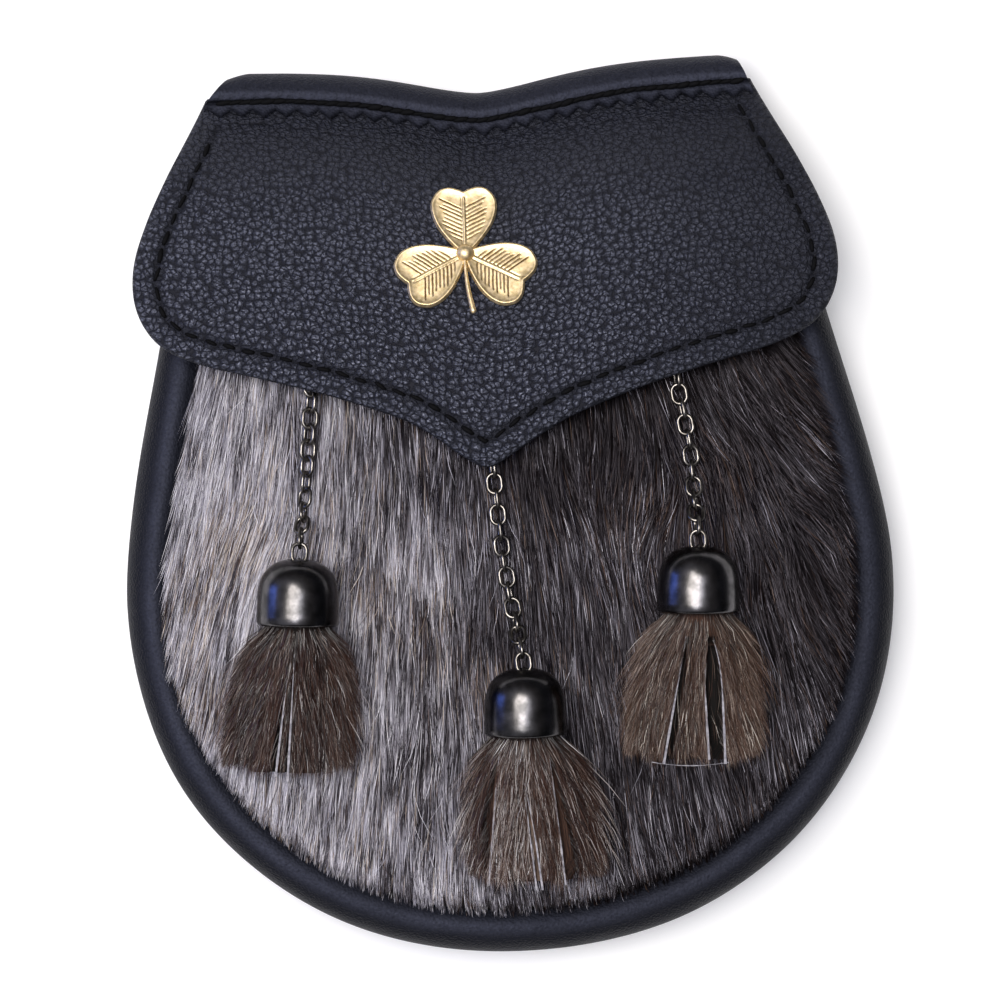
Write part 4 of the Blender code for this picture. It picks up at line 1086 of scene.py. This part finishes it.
def make_hinge_strip():
    rings, painted_highlight = [], []
    rng = np.random.default_rng(81)
    lifts, uneven = rng.uniform(0, 1, 64) ** 2, rng.uniform(-0.5, 0.5, 64)
    for share in np.linspace(-1, 1, int(270 / COARSE) + 1):
        end, _ = strip_end(share)
        across = end * share
        # Each tooth of the zigzag edge has a length and a lift of its own
        tooth = across / PINK_PITCH + 20.3
        own = int(tooth) % 64
        notch = abs((tooth % 1) * 2 - 1)
        front_end = STRIP_FRONT_END + 0.5 * uneven[own] - PINK_DEPTH * notch
        lifted = lifts[own] * (1 - notch) ** 0.7
        drop = FOLD_CORNER_DROP * max(0.0, 1 - (end - abs(across)) / FOLD_CORNER_LENGTH) ** 1.6
        ring = []
        for wall, back in ((STRIP_WALL, BACK_SEAM_THICK - STRIP_WALL), (0.0, BACK_SEAM_THICK)):
            below = np.linspace(front_end, FOLD_REACH, 24)
            side = strip_front(share, below)
            if not wall:
                side[:, 2] = flap_height(across, below) + FLAP_WALL + STRIP_LIFT * (1 + share**6)
            side[:, 2] += 1.0 * lifted * smooth(STRIP_STITCH_BELOW + 1.0, STRIP_FRONT_END, below)
            front = side[-1, 2]
            reach = FOLD_REACH - drop - STRIP_WALL + wall
            turn = np.linspace(math.pi / 2, -math.pi / 2, 22)[1:]
            height = (front + back) / 2 + (front - back) / 2 * np.sin(turn)
            if wall:
                height += 0.2 * patchy(across, 3 * turn, 17.0, 2.6, 84) * np.cos(turn)
            more = np.linspace(FOLD_REACH, STRIP_BACK_END, 9)[1:]
            rest_below = np.concatenate([FOLD_REACH - reach * np.cos(turn), more])
            rest_height = np.concatenate([height, np.full(len(more), back)])
            side = np.vstack([side, np.column_stack([strip_place(share, rest_below), rest_height])])
            # Painted highlight along the bend above the thread, on the margin below it, and a little on
            # the fold's turn
            from_seam = below - seam_line(across)
            strip_highlight = np.maximum(0.65 * smooth(0.3, 0.9, from_seam), 0.95 * hill(from_seam + 1.2, 2.4))
            from_edge = from_seam[0] - from_seam
            strip_highlight *= smooth(0.3, 0.7, np.abs(from_seam)) * smooth(1.7, 3.4, from_edge + 1.7)
            strip_highlight = np.append(strip_highlight, 0.35 * smooth(0.2, 0.6, np.linspace(1, 0, len(side) - len(below))))
            ring.append(side if wall else side[::-1])
            painted_highlight.append(strip_highlight if wall else strip_highlight[::-1])
        rings.append(np.vstack(ring))
    shape = Shape().sweep(rings)
    made = shape.piece("hinge_leather", SMOOTH_LEATHER, "smooth_leather", "hinge_strip", sharp_deg=55)
    add_values(made, "painted_highlight", np.concatenate(painted_highlight))

    # Doubled thread that lies like a rope in its furrow, pulled tight into each hole
    stitches = Shape()
    t = np.linspace(0, 1, 8)
    for across in np.arange(-LEFT_END - 3.5, RIGHT_END + 1.0, STRIP_STITCH_PITCH):
        a = across + t * (STRIP_STITCH_PITCH + 1.0)
        own = rng.normal(0, 0.12, 2)
        below = seam_line(a) + (0.55 + own[0]) * (0.5 - t)
        end_share = a / np.where(a < 0, LEFT_END + LEFT_SLANT * 7, RIGHT_END + RIGHT_SLANT * 7)
        ends = zip(np.clip(end_share, -1, 1), below)
        path = np.vstack([strip_front(e, np.array([b]))[0] for e, b in ends])
        path[:, 2] = np.median(path[:, 2]) * 0.3 + path[:, 2] * 0.7 + 0.3 + 0.3 * np.sin(math.pi * t)
        stitches.bar(path, (0.62 + 0.9 * own[1]) * (0.42 + 0.58 * np.sin(math.pi * t) ** 0.7), 9)
    stitches.piece("hinge_stitches", THREAD, "smooth_leather")


def circle(steps):
    """Flat points once round a circle of radius 1."""
    turn = 2 * math.pi * np.arange(steps) / steps
    return np.stack([np.cos(turn), np.sin(turn)], 1)


def make_flap_stud():
    """Press stud between the flap and the fur, turned from brass and plated."""
    middle = np.array([STUD_X, STUD_Y])
    rim = middle + circle(48) * STUD_RADIUS
    low, high = fur_height(*rim.T).max() + 0.3, flap_height_at(*rim.T).min() - 0.6
    # (share of its height, radius)
    profile = (
        (0.0, 4.4), (0.06, 4.9), (0.14, STUD_RADIUS), (0.26, 4.9), (0.34, STUD_WAIST),
        (0.62, STUD_WAIST), (0.72, 4.8), (0.84, STUD_RADIUS), (0.94, 4.9), (1.0, 4.4),
    )  # fmt: skip
    rings = [
        np.column_stack([middle + circle(48) * radius, np.full(48, low + share * (high - low))])
        for share, radius in profile
    ]
    Shape().sweep(rings).piece("flap_press_stud", WIRE, "chain_steel", "flap_stud", sharp_deg=40)


# ---------------------------------------------------------------- the badge


def badge_frame():
    """Matrix from the badge's own flat frame to the flap's outer face under it."""
    x, y = BADGE_CENTRE
    half = BADGE_REACH
    rise = float(flap_height_at(x, y + half) - flap_height_at(x, y - half)) / (2 * half)
    side = float(flap_height_at(x + half, y) - flap_height_at(x - half, y)) / (2 * half)
    right = Vector((1.0, 0.0, side)).normalized()
    out = right.cross(Vector((0.0, 1.0, rise))).normalized()
    turn = Matrix((right, out.cross(right), out)).transposed()
    middle = Vector((x, y, float(flap_height_at(x, y)) + FLAP_WALL))
    lift = 0.0
    for k in range(18):
        bearing = 2 * math.pi * k / 18
        for reach in (0.5 * half, half):
            p = middle + turn @ Vector((reach * math.cos(bearing), reach * math.sin(bearing), 0))
            lift = max(lift, float(flap_height_at(p.x, p.y)) + FLAP_WALL - p.z)
    return Matrix.Translation(middle + out * (lift + BADGE_GAP)) @ turn.to_4x4()


def placed(matrix, points):
    """Points in millimetres, moved by a matrix."""
    m = np.array(matrix)
    return np.asarray(points, float) @ m[:3, :3].T + m[:3, 3]


def leaf_relief(along, across, depth_in, length):
    """A leaf's face: a low rounded rim, a shallow dish, a midrib and cut veins.

    Returns its height, and the count of veins and their depth for the material."""
    height = BADGE_THICK * (0.84 - 0.14 * smooth(0.4, 2.4, depth_in) + 0.10 * smooth(2.4, 6.0, depth_in))
    height += 0.14 * hill(depth_in - 0.5, 0.4)  # rim
    height -= 0.5 * smooth(0.4, 0.0, depth_in)  # its outer edge is rounded over
    inside = smooth(1.2, 1.8, depth_in) * smooth(1.6, 2.6, along)
    # The midrib stands between two cut lines
    midrib = 0.12 * hill(across, 0.24) - 0.10 * hill(np.abs(across) - 0.5, 0.2)
    height += inside * smooth(15.4 * length, 13.5 * length, along) * midrib
    # Veins are cut by hand from the midrib towards the lobes
    run = along - 0.52 * np.abs(across) + 0.2 * np.sign(across) + 0.1 * patchy(along, across, 2.0, 1.6, 18)
    number = np.round(run / VEIN_PITCH)
    own = np.random.default_rng(17).uniform(0, 1, 64)[(number + 20 * (across > 0)).astype(int) % 64]
    reach = smooth(4.4 + 1.6 * own, 3.8 + 1.6 * own, np.abs(across)) * smooth(0.4, 0.7, np.abs(across))
    depth = inside * reach * ((number >= 3) & (number * VEIN_PITCH < 11.4 * length))
    height -= 0.12 * hill(run - number * VEIN_PITCH, 0.17) * depth
    return height, np.column_stack([run / VEIN_PITCH, depth * (0.6 + 0.4 * own), 0 * run])


def make_badge():
    place = badge_frame()
    shape = Shape()
    veins = []
    for direction, length in LEAVES:
        half = curve_through(LEAF_HALF, 10)
        edge = np.vstack([half, half[-2::-1] * (1, -1)]) * (length, 1)
        edge = even_points(edge, 0.22, closed=True)
        points, faces, stands = fill(edge, 0.1, 0.155 * COARSE)
        distance, _ = nearest(points, even_points(edge, 0.08, closed=True))
        height, vein = leaf_relief(points[:, 0], points[:, 1], distance, length)
        veins += [vein, np.zeros((len(stands), 3))]
        turned = place @ Matrix.Rotation(math.radians(direction), 3, "Z").to_4x4()
        start = shape.count
        low, up = start + len(points) + np.arange(len(stands)), stands + start
        shape.add(placed(turned, np.column_stack([points, height])), faces)
        shape.add(placed(turned, np.column_stack([points[stands], 0.0 * stands])))
        shape.wall(up, low)
        shape.faces.append(low[::-1].tolist())
    # Stem: it grows a little thicker towards its cut end
    stem = curve_through(((-0.2, -1.2), (-0.2, -4.5), (0.0, -8.0), (0.4, -11.2), (0.95, -14.6)), 6)
    t = np.linspace(0, 1, len(stem))
    radius = 0.34 + 0.42 * t**1.5
    radius[-1] *= 0.55
    shape.bar(placed(place, np.column_stack([stem, 1.15 - 0.45 * t])), radius, 14)
    # Ball in the middle
    rings = []
    for lift in np.linspace(-0.25, 1.0, 14)[:-1] * math.pi / 2:
        height = 0.9 + 0.9 * BALL_RADIUS * math.sin(lift)
        ring = BALL_RADIUS * math.cos(lift) * circle(36)
        rings.append(placed(place, np.column_stack([ring, np.full(36, height)])))
    shape.sweep(rings)
    made = shape.piece("shamrock_casting", BRASS, "gilt_brass", "shamrock_badge", sharp_deg=70)
    veins = np.vstack(veins)
    add_values(made, "vein", np.vstack([veins, np.zeros((shape.count - len(veins), 3))]))


# ---------------------------------------------------------------- chains, bells and tassels


def drop_frame(bell_top, lean_deg):
    """Matrix of a bell: its local -Y runs down its axis, +Z away from the fur."""
    lean = math.radians(lean_deg)
    down = Vector((math.sin(lean), -math.cos(lean)))
    reach = TASSEL_SECTIONS[-1][0]
    x, y = bell_top
    end = Vector(bell_top) + down * reach
    near, far = float(fur_height(x, y)), float(fur_height(end.x, end.y))
    axis = Vector((down.x * reach, down.y * reach, far - near)).normalized()
    out = (Vector((0.0, 0.0, 1.0)) - axis * axis.z).normalized()
    right = (-axis).cross(out)
    turn = Matrix((right, -axis, out)).transposed().to_4x4()
    return Matrix.Translation(Vector((x, y, near)) + out * BELL_HEIGHT) @ turn


def make_bell(name, place):
    """Spun cap: a domed crown with a hole, straight sides and a rolled rim."""
    inner = BELL_RADIUS - BELL_WALL
    start = math.asin((BELL_HOLE_RADIUS / BELL_RADIUS) ** (1 / BELL_SQUARE)) + 0.03
    turn = np.linspace(start, math.pi / 2, 24)
    dome = np.stack([np.sin(turn) ** BELL_SQUARE, 1 - np.cos(turn) ** BELL_SQUARE], 1) * BELL_RADIUS
    lip = [(BELL_HOLE_RADIUS + 0.02, 0.62), (BELL_HOLE_RADIUS + 0.1, 0.42)]
    side = [(BELL_RADIUS, BELL_RADIUS + 1.5), (BELL_RADIUS, BELL_LENGTH - 2.2)]
    bend = np.linspace(0, math.pi / 2, 7)[1:]
    rim = np.stack([BELL_RADIUS - 1.1 * (1 - np.cos(bend)), BELL_LENGTH - 1.1 + 1.1 * np.sin(bend)], 1)
    hollow = [
        (BELL_RADIUS - 1.5, BELL_LENGTH - 0.1), (inner - 0.6, BELL_LENGTH - 0.6),
        (inner, BELL_LENGTH - 1.8), (inner, BELL_RADIUS),
    ]  # fmt: skip
    back = np.linspace(math.pi / 2, math.asin(BELL_HOLE_RADIUS / inner), 10)[1:]
    crown = np.stack([inner * np.sin(back), BELL_RADIUS - inner * np.cos(back)], 1)
    radius, along = np.vstack([lip, dome, side, rim, hollow, crown]).T
    radius = radius + 0.25 * smooth(6, 14, along)
    rings = [
        placed(place, np.stack([radius * across, -along, radius * out], 1))
        for across, out in circle(int(96 / COARSE))
    ]
    shape = Shape().sweep(rings, close_path=True)
    shape.piece(f"bell_cap_{name}", GUNMETAL, "gunmetal", f"bell_{name}", sharp_deg=70)


def chain_line(place, route):
    """The chain's middle line: over the fur, up to the hole in the bell and a little way in."""
    top = np.array(place.translation)
    flat = even_points(curve_through([*route, tuple(top[:2])], 8), LINK_PITCH)
    away = np.linalg.norm(flat - top[:2], axis=1)
    rise = (BELL_HEIGHT - LINK_HEIGHT) * (1 - smooth(LINK_RISE_FROM, LINK_RISE_TO, away))
    points = np.column_stack([flat, fur_height(*flat.T) + LINK_HEIGHT + rise])
    points[-1] = top
    last_link = PIN_DEPTH + PIN_RADIUS + 0.3 - LINK_LENGTH / 2 + LINK_WIRE
    end = placed(place, [(0.0, -last_link, 0.0)])
    return even_points(curve_through(np.vstack([points, end]), 8), 0.3)


def make_chain(name, place, route):
    """Oval links of drawn wire, each hooked into the next; returns the first one's place."""
    line = chain_line(place, route)
    length = np.linalg.norm(np.diff(line, axis=0), axis=1).sum()
    count = round(length / LINK_PITCH)
    twist = 0.0 if count % 2 else 90.0
    middles = even_points(line, length / count)
    wire, bends = LINK_WIRE / 2, 28
    turn = 2 * math.pi * (np.arange(bends) + 0.5) / bends
    half_width = LINK_WIDTH / 2 - wire
    straight = LINK_LENGTH / 2 - wire - half_width
    shape = Shape()
    for k, middle in enumerate(middles):
        along = unit(middles[min(k + 1, count)] - middles[max(k - 1, 0)])
        sway = LINK_SWAY_DEG[k % len(LINK_SWAY_DEG)] if 0 < k < count else 0.0
        roll = math.radians(90.0 * k + twist * k / count + sway)
        side = unit(np.cross(along, (0.0, 0.0, 1.0)))
        across = side * math.cos(roll) + np.cross(side, along) * math.sin(roll)
        outer = np.outer(np.cos(turn), along) + np.outer(np.sin(turn), across)
        path = middle + outer * half_width + np.outer(np.copysign(straight, np.cos(turn)), along)
        shape.bar(path, wire, 10, closed=True, up=np.cross(along, across))
    shape.piece(f"chain_links_{name}", WIRE, "chain_steel", f"chain_{name}")
    return middles[0], unit(middles[1] - middles[0])


def make_staple(name, start, along):
    """Wire bridge over the top end of the first link, its feet in the hide."""
    flat = unit(np.array([along[0], along[1], 0.0]))
    end_wire = start - flat * (LINK_LENGTH / 2 - LINK_WIRE / 2)
    half = STAPLE_SPAN / 2
    turn = np.linspace(0, math.pi, 15)
    arch = end_wire - np.outer(np.cos(turn) * half, flat) + np.outer(np.sin(turn) * half, (0, 0, 1.0))
    feet = arch[[0, -1]].copy()
    feet[:, 2] = max(float(fur_height(*(end_wire + flat * s)[:2])) for s in (-half, half)) + 0.48
    path = np.vstack([feet[:1], arch, feet[1:]])
    shape = Shape().bar(path, STAPLE_WIRE / 2, 12, up=np.cross(flat, (0, 0, 1.0)))
    shape.piece(f"staple_wire_{name}", WIRE, "chain_steel", f"chain_staple_{name}")


def make_pin(name, place):
    """Crossbar inside the bell, through the last link."""
    across = np.array([-1.0, -0.97, -0.5, 0.0, 0.5, 0.97, 1.0]) * PIN_HALF_LENGTH
    radius = PIN_RADIUS * np.array([0.75, 1, 1, 1, 1, 1, 0.75])
    shape = Shape().bar(placed(place, [(a, -PIN_DEPTH, 0.0) for a in across]), radius, 16)
    shape.piece(f"crossbar_{name}", WIRE, "chain_steel", f"tassel_pin_{name}")


# Where each tassel's strips part, as lines of (across, along) from the bell's top: the left and the right
# side of a gap or bare stretch, how light it is (a deep gap is painted near black: painted shade), and
# which sides show a cut edge
TASSEL_GAPS = {
    "left": (
        (
            ((-2.0, 25.5), (-4.0, 36.0), (-6.3, 50.0)),
            ((-1.8, 25.0), (-2.9, 35.0), (-4.5, 50.0)),
            0.0, "right",
        ),
        (
            ((-0.6, 24.0), (-1.6, 36.0), (-2.8, 51.0)),
            ((-0.4, 21.5), (-0.9, 34.0), (-1.7, 51.5)),
            0.12, "right",
        ),
    ),
    "centre": (
        (
            ((-7.6, 21.0), (-10.6, 36.0), (-12.6, 50.0)),
            ((-6.4, 19.5), (-7.9, 34.0), (-9.4, 50.0)),
            0.34, "right",
        ),
        (
            ((-0.9, 26.0), (0.5, 38.0), (1.9, 51.0)),
            ((-0.7, 25.0), (1.5, 37.0), (3.3, 51.0)),
            0.85, "both",
        ),
        (
            ((5.4, 19.5), (7.2, 35.0), (8.8, 50.0)),
            ((6.4, 20.5), (10.0, 35.0), (12.4, 50.0)),
            0.4, "left",
        ),
    ),
    "right": (
        (
            ((-3.1, 20.5), (-4.4, 28.2), (-8.1, 50.0)),
            ((-2.9, 22.0), (-3.0, 30.0), (-5.9, 49.0)),
            0.0, "left",
        ),
        (
            ((1.9, 22.5), (1.4, 31.0), (2.6, 49.0)),
            ((3.3, 21.0), (5.3, 30.0), (6.5, 50.0)),
            0.0, "both",
        ),
    ),
}  # fmt: skip
# (how light the coat is, share of silver hairs, width)
TASSEL_LOOKS = {"left": (0.31, 0.05, 0.95), "centre": (0.36, 0.12, 1.0), "right": (0.50, 0.06, 0.98)}


CUT_EDGE_DEPTH = 1.8


def tassel_surface(along, angle, swell, swing_deg):
    """Place on a tassel's outer form, at a distance down it and an angle round it."""
    keys, *rest = np.array(TASSEL_SECTIONS).T
    half_width, half_depth, sink = (read_table(np.column_stack([keys, column]), along) for column in rest)
    aside = np.maximum(0.0, along - BELL_LENGTH) * math.tan(math.radians(swing_deg))
    x = half_width * swell * np.cos(angle) + aside
    return np.stack([x, -along, half_depth * swell * np.sin(angle) - sink], -1)


def in_gap(gap, across, along):
    """How far inside a gap each place lies, from 0 outside to 1 well within."""
    left, right = (
        np.interp(along, *curve_through(side, 6).T[::-1], left=99.0, right=99.0)
        for side in gap[:2]
    )
    return smooth(0.0, 0.35, np.minimum(across - left, right - across))


def make_coat(name, place, swing_deg, seed):
    """The coat of a tassel's strips: fine on the side that shows."""
    mean, _, width = TASSEL_LOOKS[name]
    past_side = 0.3  # the fine side reaches round the edges by this angle
    front = np.linspace(-past_side, math.pi + past_side, 110)
    back = np.linspace(math.pi + past_side, 2 * math.pi - past_side, 22)[1:-1]
    angles = np.concatenate([front, back])
    rings, tone, combed = [], [], []
    for along in np.concatenate([[6.2, 9.0, 12.0], np.linspace(15.0, 49.3, int(52 / COARSE))]):
        swell = 0.93 - 0.05 * smooth(15.2, 17.5, along) - 0.35 * smooth(43.0, 49.3, along)
        fold = 1 - 0.05 * np.abs(np.sin(angles * 5 + 0.4)) * smooth(16, 30, along)
        fold = fold + 0.025 * patchy(angles * 20, along, 1.2, 9.0, seed + 10)
        ring = tassel_surface(np.full(len(angles), along), angles, swell * fold * width, swing_deg)
        # Its lower end lies in the shade of the hair
        shade = mean + 0.12 * patchy(angles * 14, along, 2.5, 14.0, seed + 20)
        shade = shade - 0.35 * smooth(46.0, 49.3, along)
        for gap in TASSEL_GAPS[name]:
            inside = in_gap(gap, ring[:, 0], along) * (np.sin(angles) > 0)
            ring[:, 2] -= inside * (2.4 if gap[2] < 0.2 else 0.5)
            # A deep gap is painted near black, as painted shade between the strips; a bare stretch takes
            # its own pale tone
            shade = shade * (1 - inside) + gap[2] * inside
        # Painted shade where the coat runs up under the bell
        tone.append(shade - 0.3 * smooth(17.5, 15.0, along))
        combed.append(np.column_stack([angles * 13, np.full(len(angles), along), 0 * angles]))
        rings.append(placed(place, ring))
    shape = Shape().sweep(rings)
    made = shape.piece(f"tassel_coat_{name}", BROWN_UNDERFUR, "brown_fur", f"tassel_{name}", sharp_deg=70)
    add_values(made, "tone", np.concatenate(tone))
    add_values(made, "combed", np.vstack(combed) * MM)


def make_cut_edges(name, place, swing_deg, seed):
    """The pale cut edges of a tassel's strips, where they part."""
    strips = Shape()
    for gap in TASSEL_GAPS[name]:
        for side, which in zip(gap[:2], ("left", "right")):
            if gap[3] not in (which, "both"):
                continue
            line = even_points(curve_through(side, 6), 1.2)
            across, along = line.T
            inside = across - np.maximum(0, along - BELL_LENGTH) * math.tan(math.radians(swing_deg))
            reach = read_table([row[:2] for row in TASSEL_SECTIONS], along)
            path = tassel_surface(along, np.arccos(np.clip(inside / reach, -1, 1)), 0.97, swing_deg)
            t = np.linspace(0, 1, len(line))
            path[:, 2] -= 0.9 * (1 - t) ** 3
            path[:, 2] += 0.35 * t
            half = (0.10 + 0.14 * smooth(0, 0.9, t)) * (1 + 0.3 * patchy(along, 0.0, 2.0, 1.0, seed))
            half = np.outer(half, (1, 0, 0))
            left, right, deep = path - half, path + half, (0, 0, CUT_EDGE_DEPTH)
            strips.sweep(placed(place, np.stack([left, right, right - deep, left - deep], 1)))
    if name == "right":
        # The lower edge of its strips shows as a thin pale hem
        turn = np.linspace(0.95, 2.2, 30)
        hem = tassel_surface(50.4 - 2.2 * np.cos(turn) ** 2, turn, 0.97, swing_deg)
        strips.bar(placed(place, hem), 0.09 + 0.04 * np.sin(turn * 9), 6)
    strips.piece(f"tassel_cut_edges_{name}", CUT_EDGE, "brown_fur", sharp_deg=50)


TASSEL_LOCKS = 400
# (kind, hairs, mean length, stations, half-width from, to, how many times the share of silver)
TASSEL_COATS = (("coat", 11500, 7.5, 3, 0.035, 0.065, 1), ("long", 900, 15.0, 4, 0.035, 0.07, 5))


def make_tassel_hair(name, place, swing_deg, seed):
    mean, silver, width = TASSEL_LOOKS[name]
    finish, sweep = (TAN_FUR, 0.16) if name == "right" else (BROWN_FUR, 0.0)
    rng = np.random.default_rng(seed)
    for kind, hairs, mean_length, stations, thin, thick, more_silver in TASSEL_COATS:
        count = int(hairs / COARSE**2)
        start = rng.uniform(0, 1, count) ** 0.9 * 33 + 13.5
        angle = rng.uniform(-0.3, math.pi + 0.3, count)
        length = rng.normal(mean_length, mean_length * 0.22, count).clip(4)
        # The lower edge is ragged, and its corners are rounded off
        ragged = 49.6 + 1.6 * patchy(np.degrees(angle), start * 0, 9.0, 9.0, seed)
        ragged = ragged + rng.normal(0, 0.9, count) - 4.0 * np.abs(np.cos(angle)) ** 4
        length = np.minimum(length, ragged - start + rng.uniform(0, 1.5, count)).clip(2.5)
        # Hair stands off sideways along the tassel's edges, most just below the bell
        rim = np.abs(np.cos(angle)) ** 4 * np.sign(np.cos(angle))
        splay = 0.34 * rim * rng.uniform(0, 1, count) ** 1.5 * smooth(50, 18, start)
        splay = splay + rng.normal(0, 0.13, count)
        rise = rng.normal(0.03, 0.04, count).clip(-0.01)
        lock = rng.uniform(-1, 1, TASSEL_LOCKS)
        cell = np.floor(angle * 9).astype(int)
        drift = lock[(cell * 7 + np.floor(start / 6).astype(int) * 31) % TASSEL_LOCKS] * 0.07
        spine = np.zeros((count, stations, 3))
        for k, share in enumerate(np.linspace(0, 1, stations)):
            swell = (0.84 + (0.10 + rise) * smooth(0, 0.6, share)) * width
            spine[:, k] = tassel_surface(start + length * share, angle - drift * share, swell, swing_deg)
            spine[:, k, 0] += (splay + sweep * smooth(20, 45, start)) * length * share**1.3
        # Hair grows on the strips, and not in the gaps between them
        keep = np.ones(count, bool)
        for gap in TASSEL_GAPS[name]:
            for k in range(1, stations):
                keep &= (in_gap(gap, spine[:, k, 0], -spine[:, k, 1]) < 0.2) | (spine[:, k, 2] < 0)
        keep |= rng.uniform(0, 1, count) < 0.02
        spine, cell, shown = spine[keep], cell[keep], int(keep.sum())
        world = placed(place, spine)
        side = flat_sides(world, rng)
        # Silver hairs come in bunches
        bunch = (0.5 + lock[(cell * 5) % TASSEL_LOCKS]).clip(0.05) * 1.4
        is_silver = rng.uniform(0, 1, shown) < bunch * (silver * more_silver)
        tone = mean * 0.95 + rng.normal(0, 0.11, shown) + 0.10 * lock[(cell * 3) % TASSEL_LOCKS]
        # The middle strips of the centre tassel are silvered
        middle = (name == "centre") & (np.abs(spine[:, -1, 0] + 4.0) < 4.5)
        is_silver |= middle & (rng.uniform(0, 1, shown) < 0.22)
        tone = np.where(is_silver, rng.uniform(0.62, 1.0, shown), tone)
        half_width = rng.uniform(thin, thick, shown)
        add_hair(f"tassel_{kind}_hair_{name}", world, half_width, side, tone, finish, "brown_fur")


make_gusset()
make_back_panel()
make_strap_loop("left", -LOOP_X)
make_strap_loop("right", LOOP_X)
make_hide()
make_fur()
make_flap()
make_hinge_strip()
make_flap_stud()
make_badge()
for seed, (drop, bell_top, lean_deg, swing_deg, route) in enumerate(DROPS, 91):
    hang = drop_frame(bell_top, lean_deg)
    make_bell(drop, hang)
    make_staple(drop, *make_chain(drop, hang, route))
    make_pin(drop, hang)
    for make in (make_coat, make_cut_edges, make_tassel_hair):
        make(drop, hang, swing_deg, seed)


# ---------------------------------------------------------------- floor, light and camera

FLOOR_DROP = 0.5  # in mm: the floor lies just under the stitches of the back seam
FLOOR_HALF = 4.0  # in metres
signs = ((-1, -1), (1, -1), (1, 1), (-1, 1))
corners = [(x * FLOOR_HALF, y * FLOOR_HALF, -FLOOR_DROP * MM) for x, y in signs]
floor_mesh = bpy.data.meshes.new("floor")
floor_mesh.from_pydata(corners, [], [(0, 1, 2, 3)])
floor = bpy.data.objects.new("floor", floor_mesh)
bpy.context.scene.collection.objects.link(floor)
LIT = {"Emission_Color": "#ffffff", "Emission_Strength": 0.22}
floor_mesh.materials.append(
    plain_finish("white_light_table", "#ebebec", "#f1f1f2", 60.0, 0.01, Roughness=0.9, **LIT)
)


def add_softbox(name, place, aim, width, height, watts, colour):
    data = bpy.data.lights.new(name, "AREA")
    data.shape, data.size, data.size_y = "RECTANGLE", width, height
    data.energy, data.color = watts, linear(colour)[:3]
    lamp = bpy.data.objects.new(name, data)
    lamp.location = place
    lamp.rotation_euler = (Vector(aim) - Vector(place)).to_track_quat("-Z", "Y").to_euler()
    bpy.context.scene.collection.objects.link(lamp)


add_softbox("overhead_softbox", (-0.26, 0.16, 1.25), (0.0, 0.0, 0.0), 0.7, 0.7, 15.0, "#fffaf2")
add_softbox("top_softbox", (-0.05, -0.05, 1.5), (0.0, 0.0, 0.0), 0.5, 1.0, 7.0, "#f2f4ff")
add_softbox("left_window", (-1.6, 0.35, 0.45), (0.0, 0.0, 0.02), 0.5, 0.7, 4.4, "#5478ea")

world = bpy.data.worlds.new("studio_air")
bpy.context.scene.world = world
world.use_nodes = True
sky = world.node_tree
# Dim walls, a paler ceiling, and the right side of the room darker
toward = add_node(sky, "SeparateXYZ", {"Vector": add_node(sky, "TexCoord").outputs["Generated"]})
inputs = {0: toward.outputs["X"], 1: -0.5, 2: toward.outputs["Z"]}
rise = add_node(sky, "Math", inputs, operation="MULTIPLY_ADD")
SKY_STRENGTH = 0.7
SKY_STOPS = ((0.1, "#3c3e46"), (0.55, "#6d6a6c"), (1.0, "#c4c6d4"))
shade = add_node(sky, "ValToRGB", {"Fac": rise.outputs["Value"]}, stops=SKY_STOPS)
sky.links.new(shade.outputs["Color"], sky.nodes["Background"].inputs["Color"])
sky.nodes["Background"].inputs["Strength"].default_value = SKY_STRENGTH
bpy.context.scene.view_settings.view_transform = "Standard"

# The camera looks straight down: lens in mm, place in metres, and its turn
LENS, CAMERA_PLACE, CAMERA_TURN_DEG = 153.19, (-0.00094, 0.00059, 1.015), -4.0
camera_data = bpy.data.cameras.new("camera")
camera_data.lens = LENS
camera = bpy.data.objects.new("camera", camera_data)
camera.location = CAMERA_PLACE
camera.rotation_euler = (0.0, 0.0, math.radians(CAMERA_TURN_DEG))
bpy.context.scene.collection.objects.link(camera)
bpy.context.scene.camera = camera
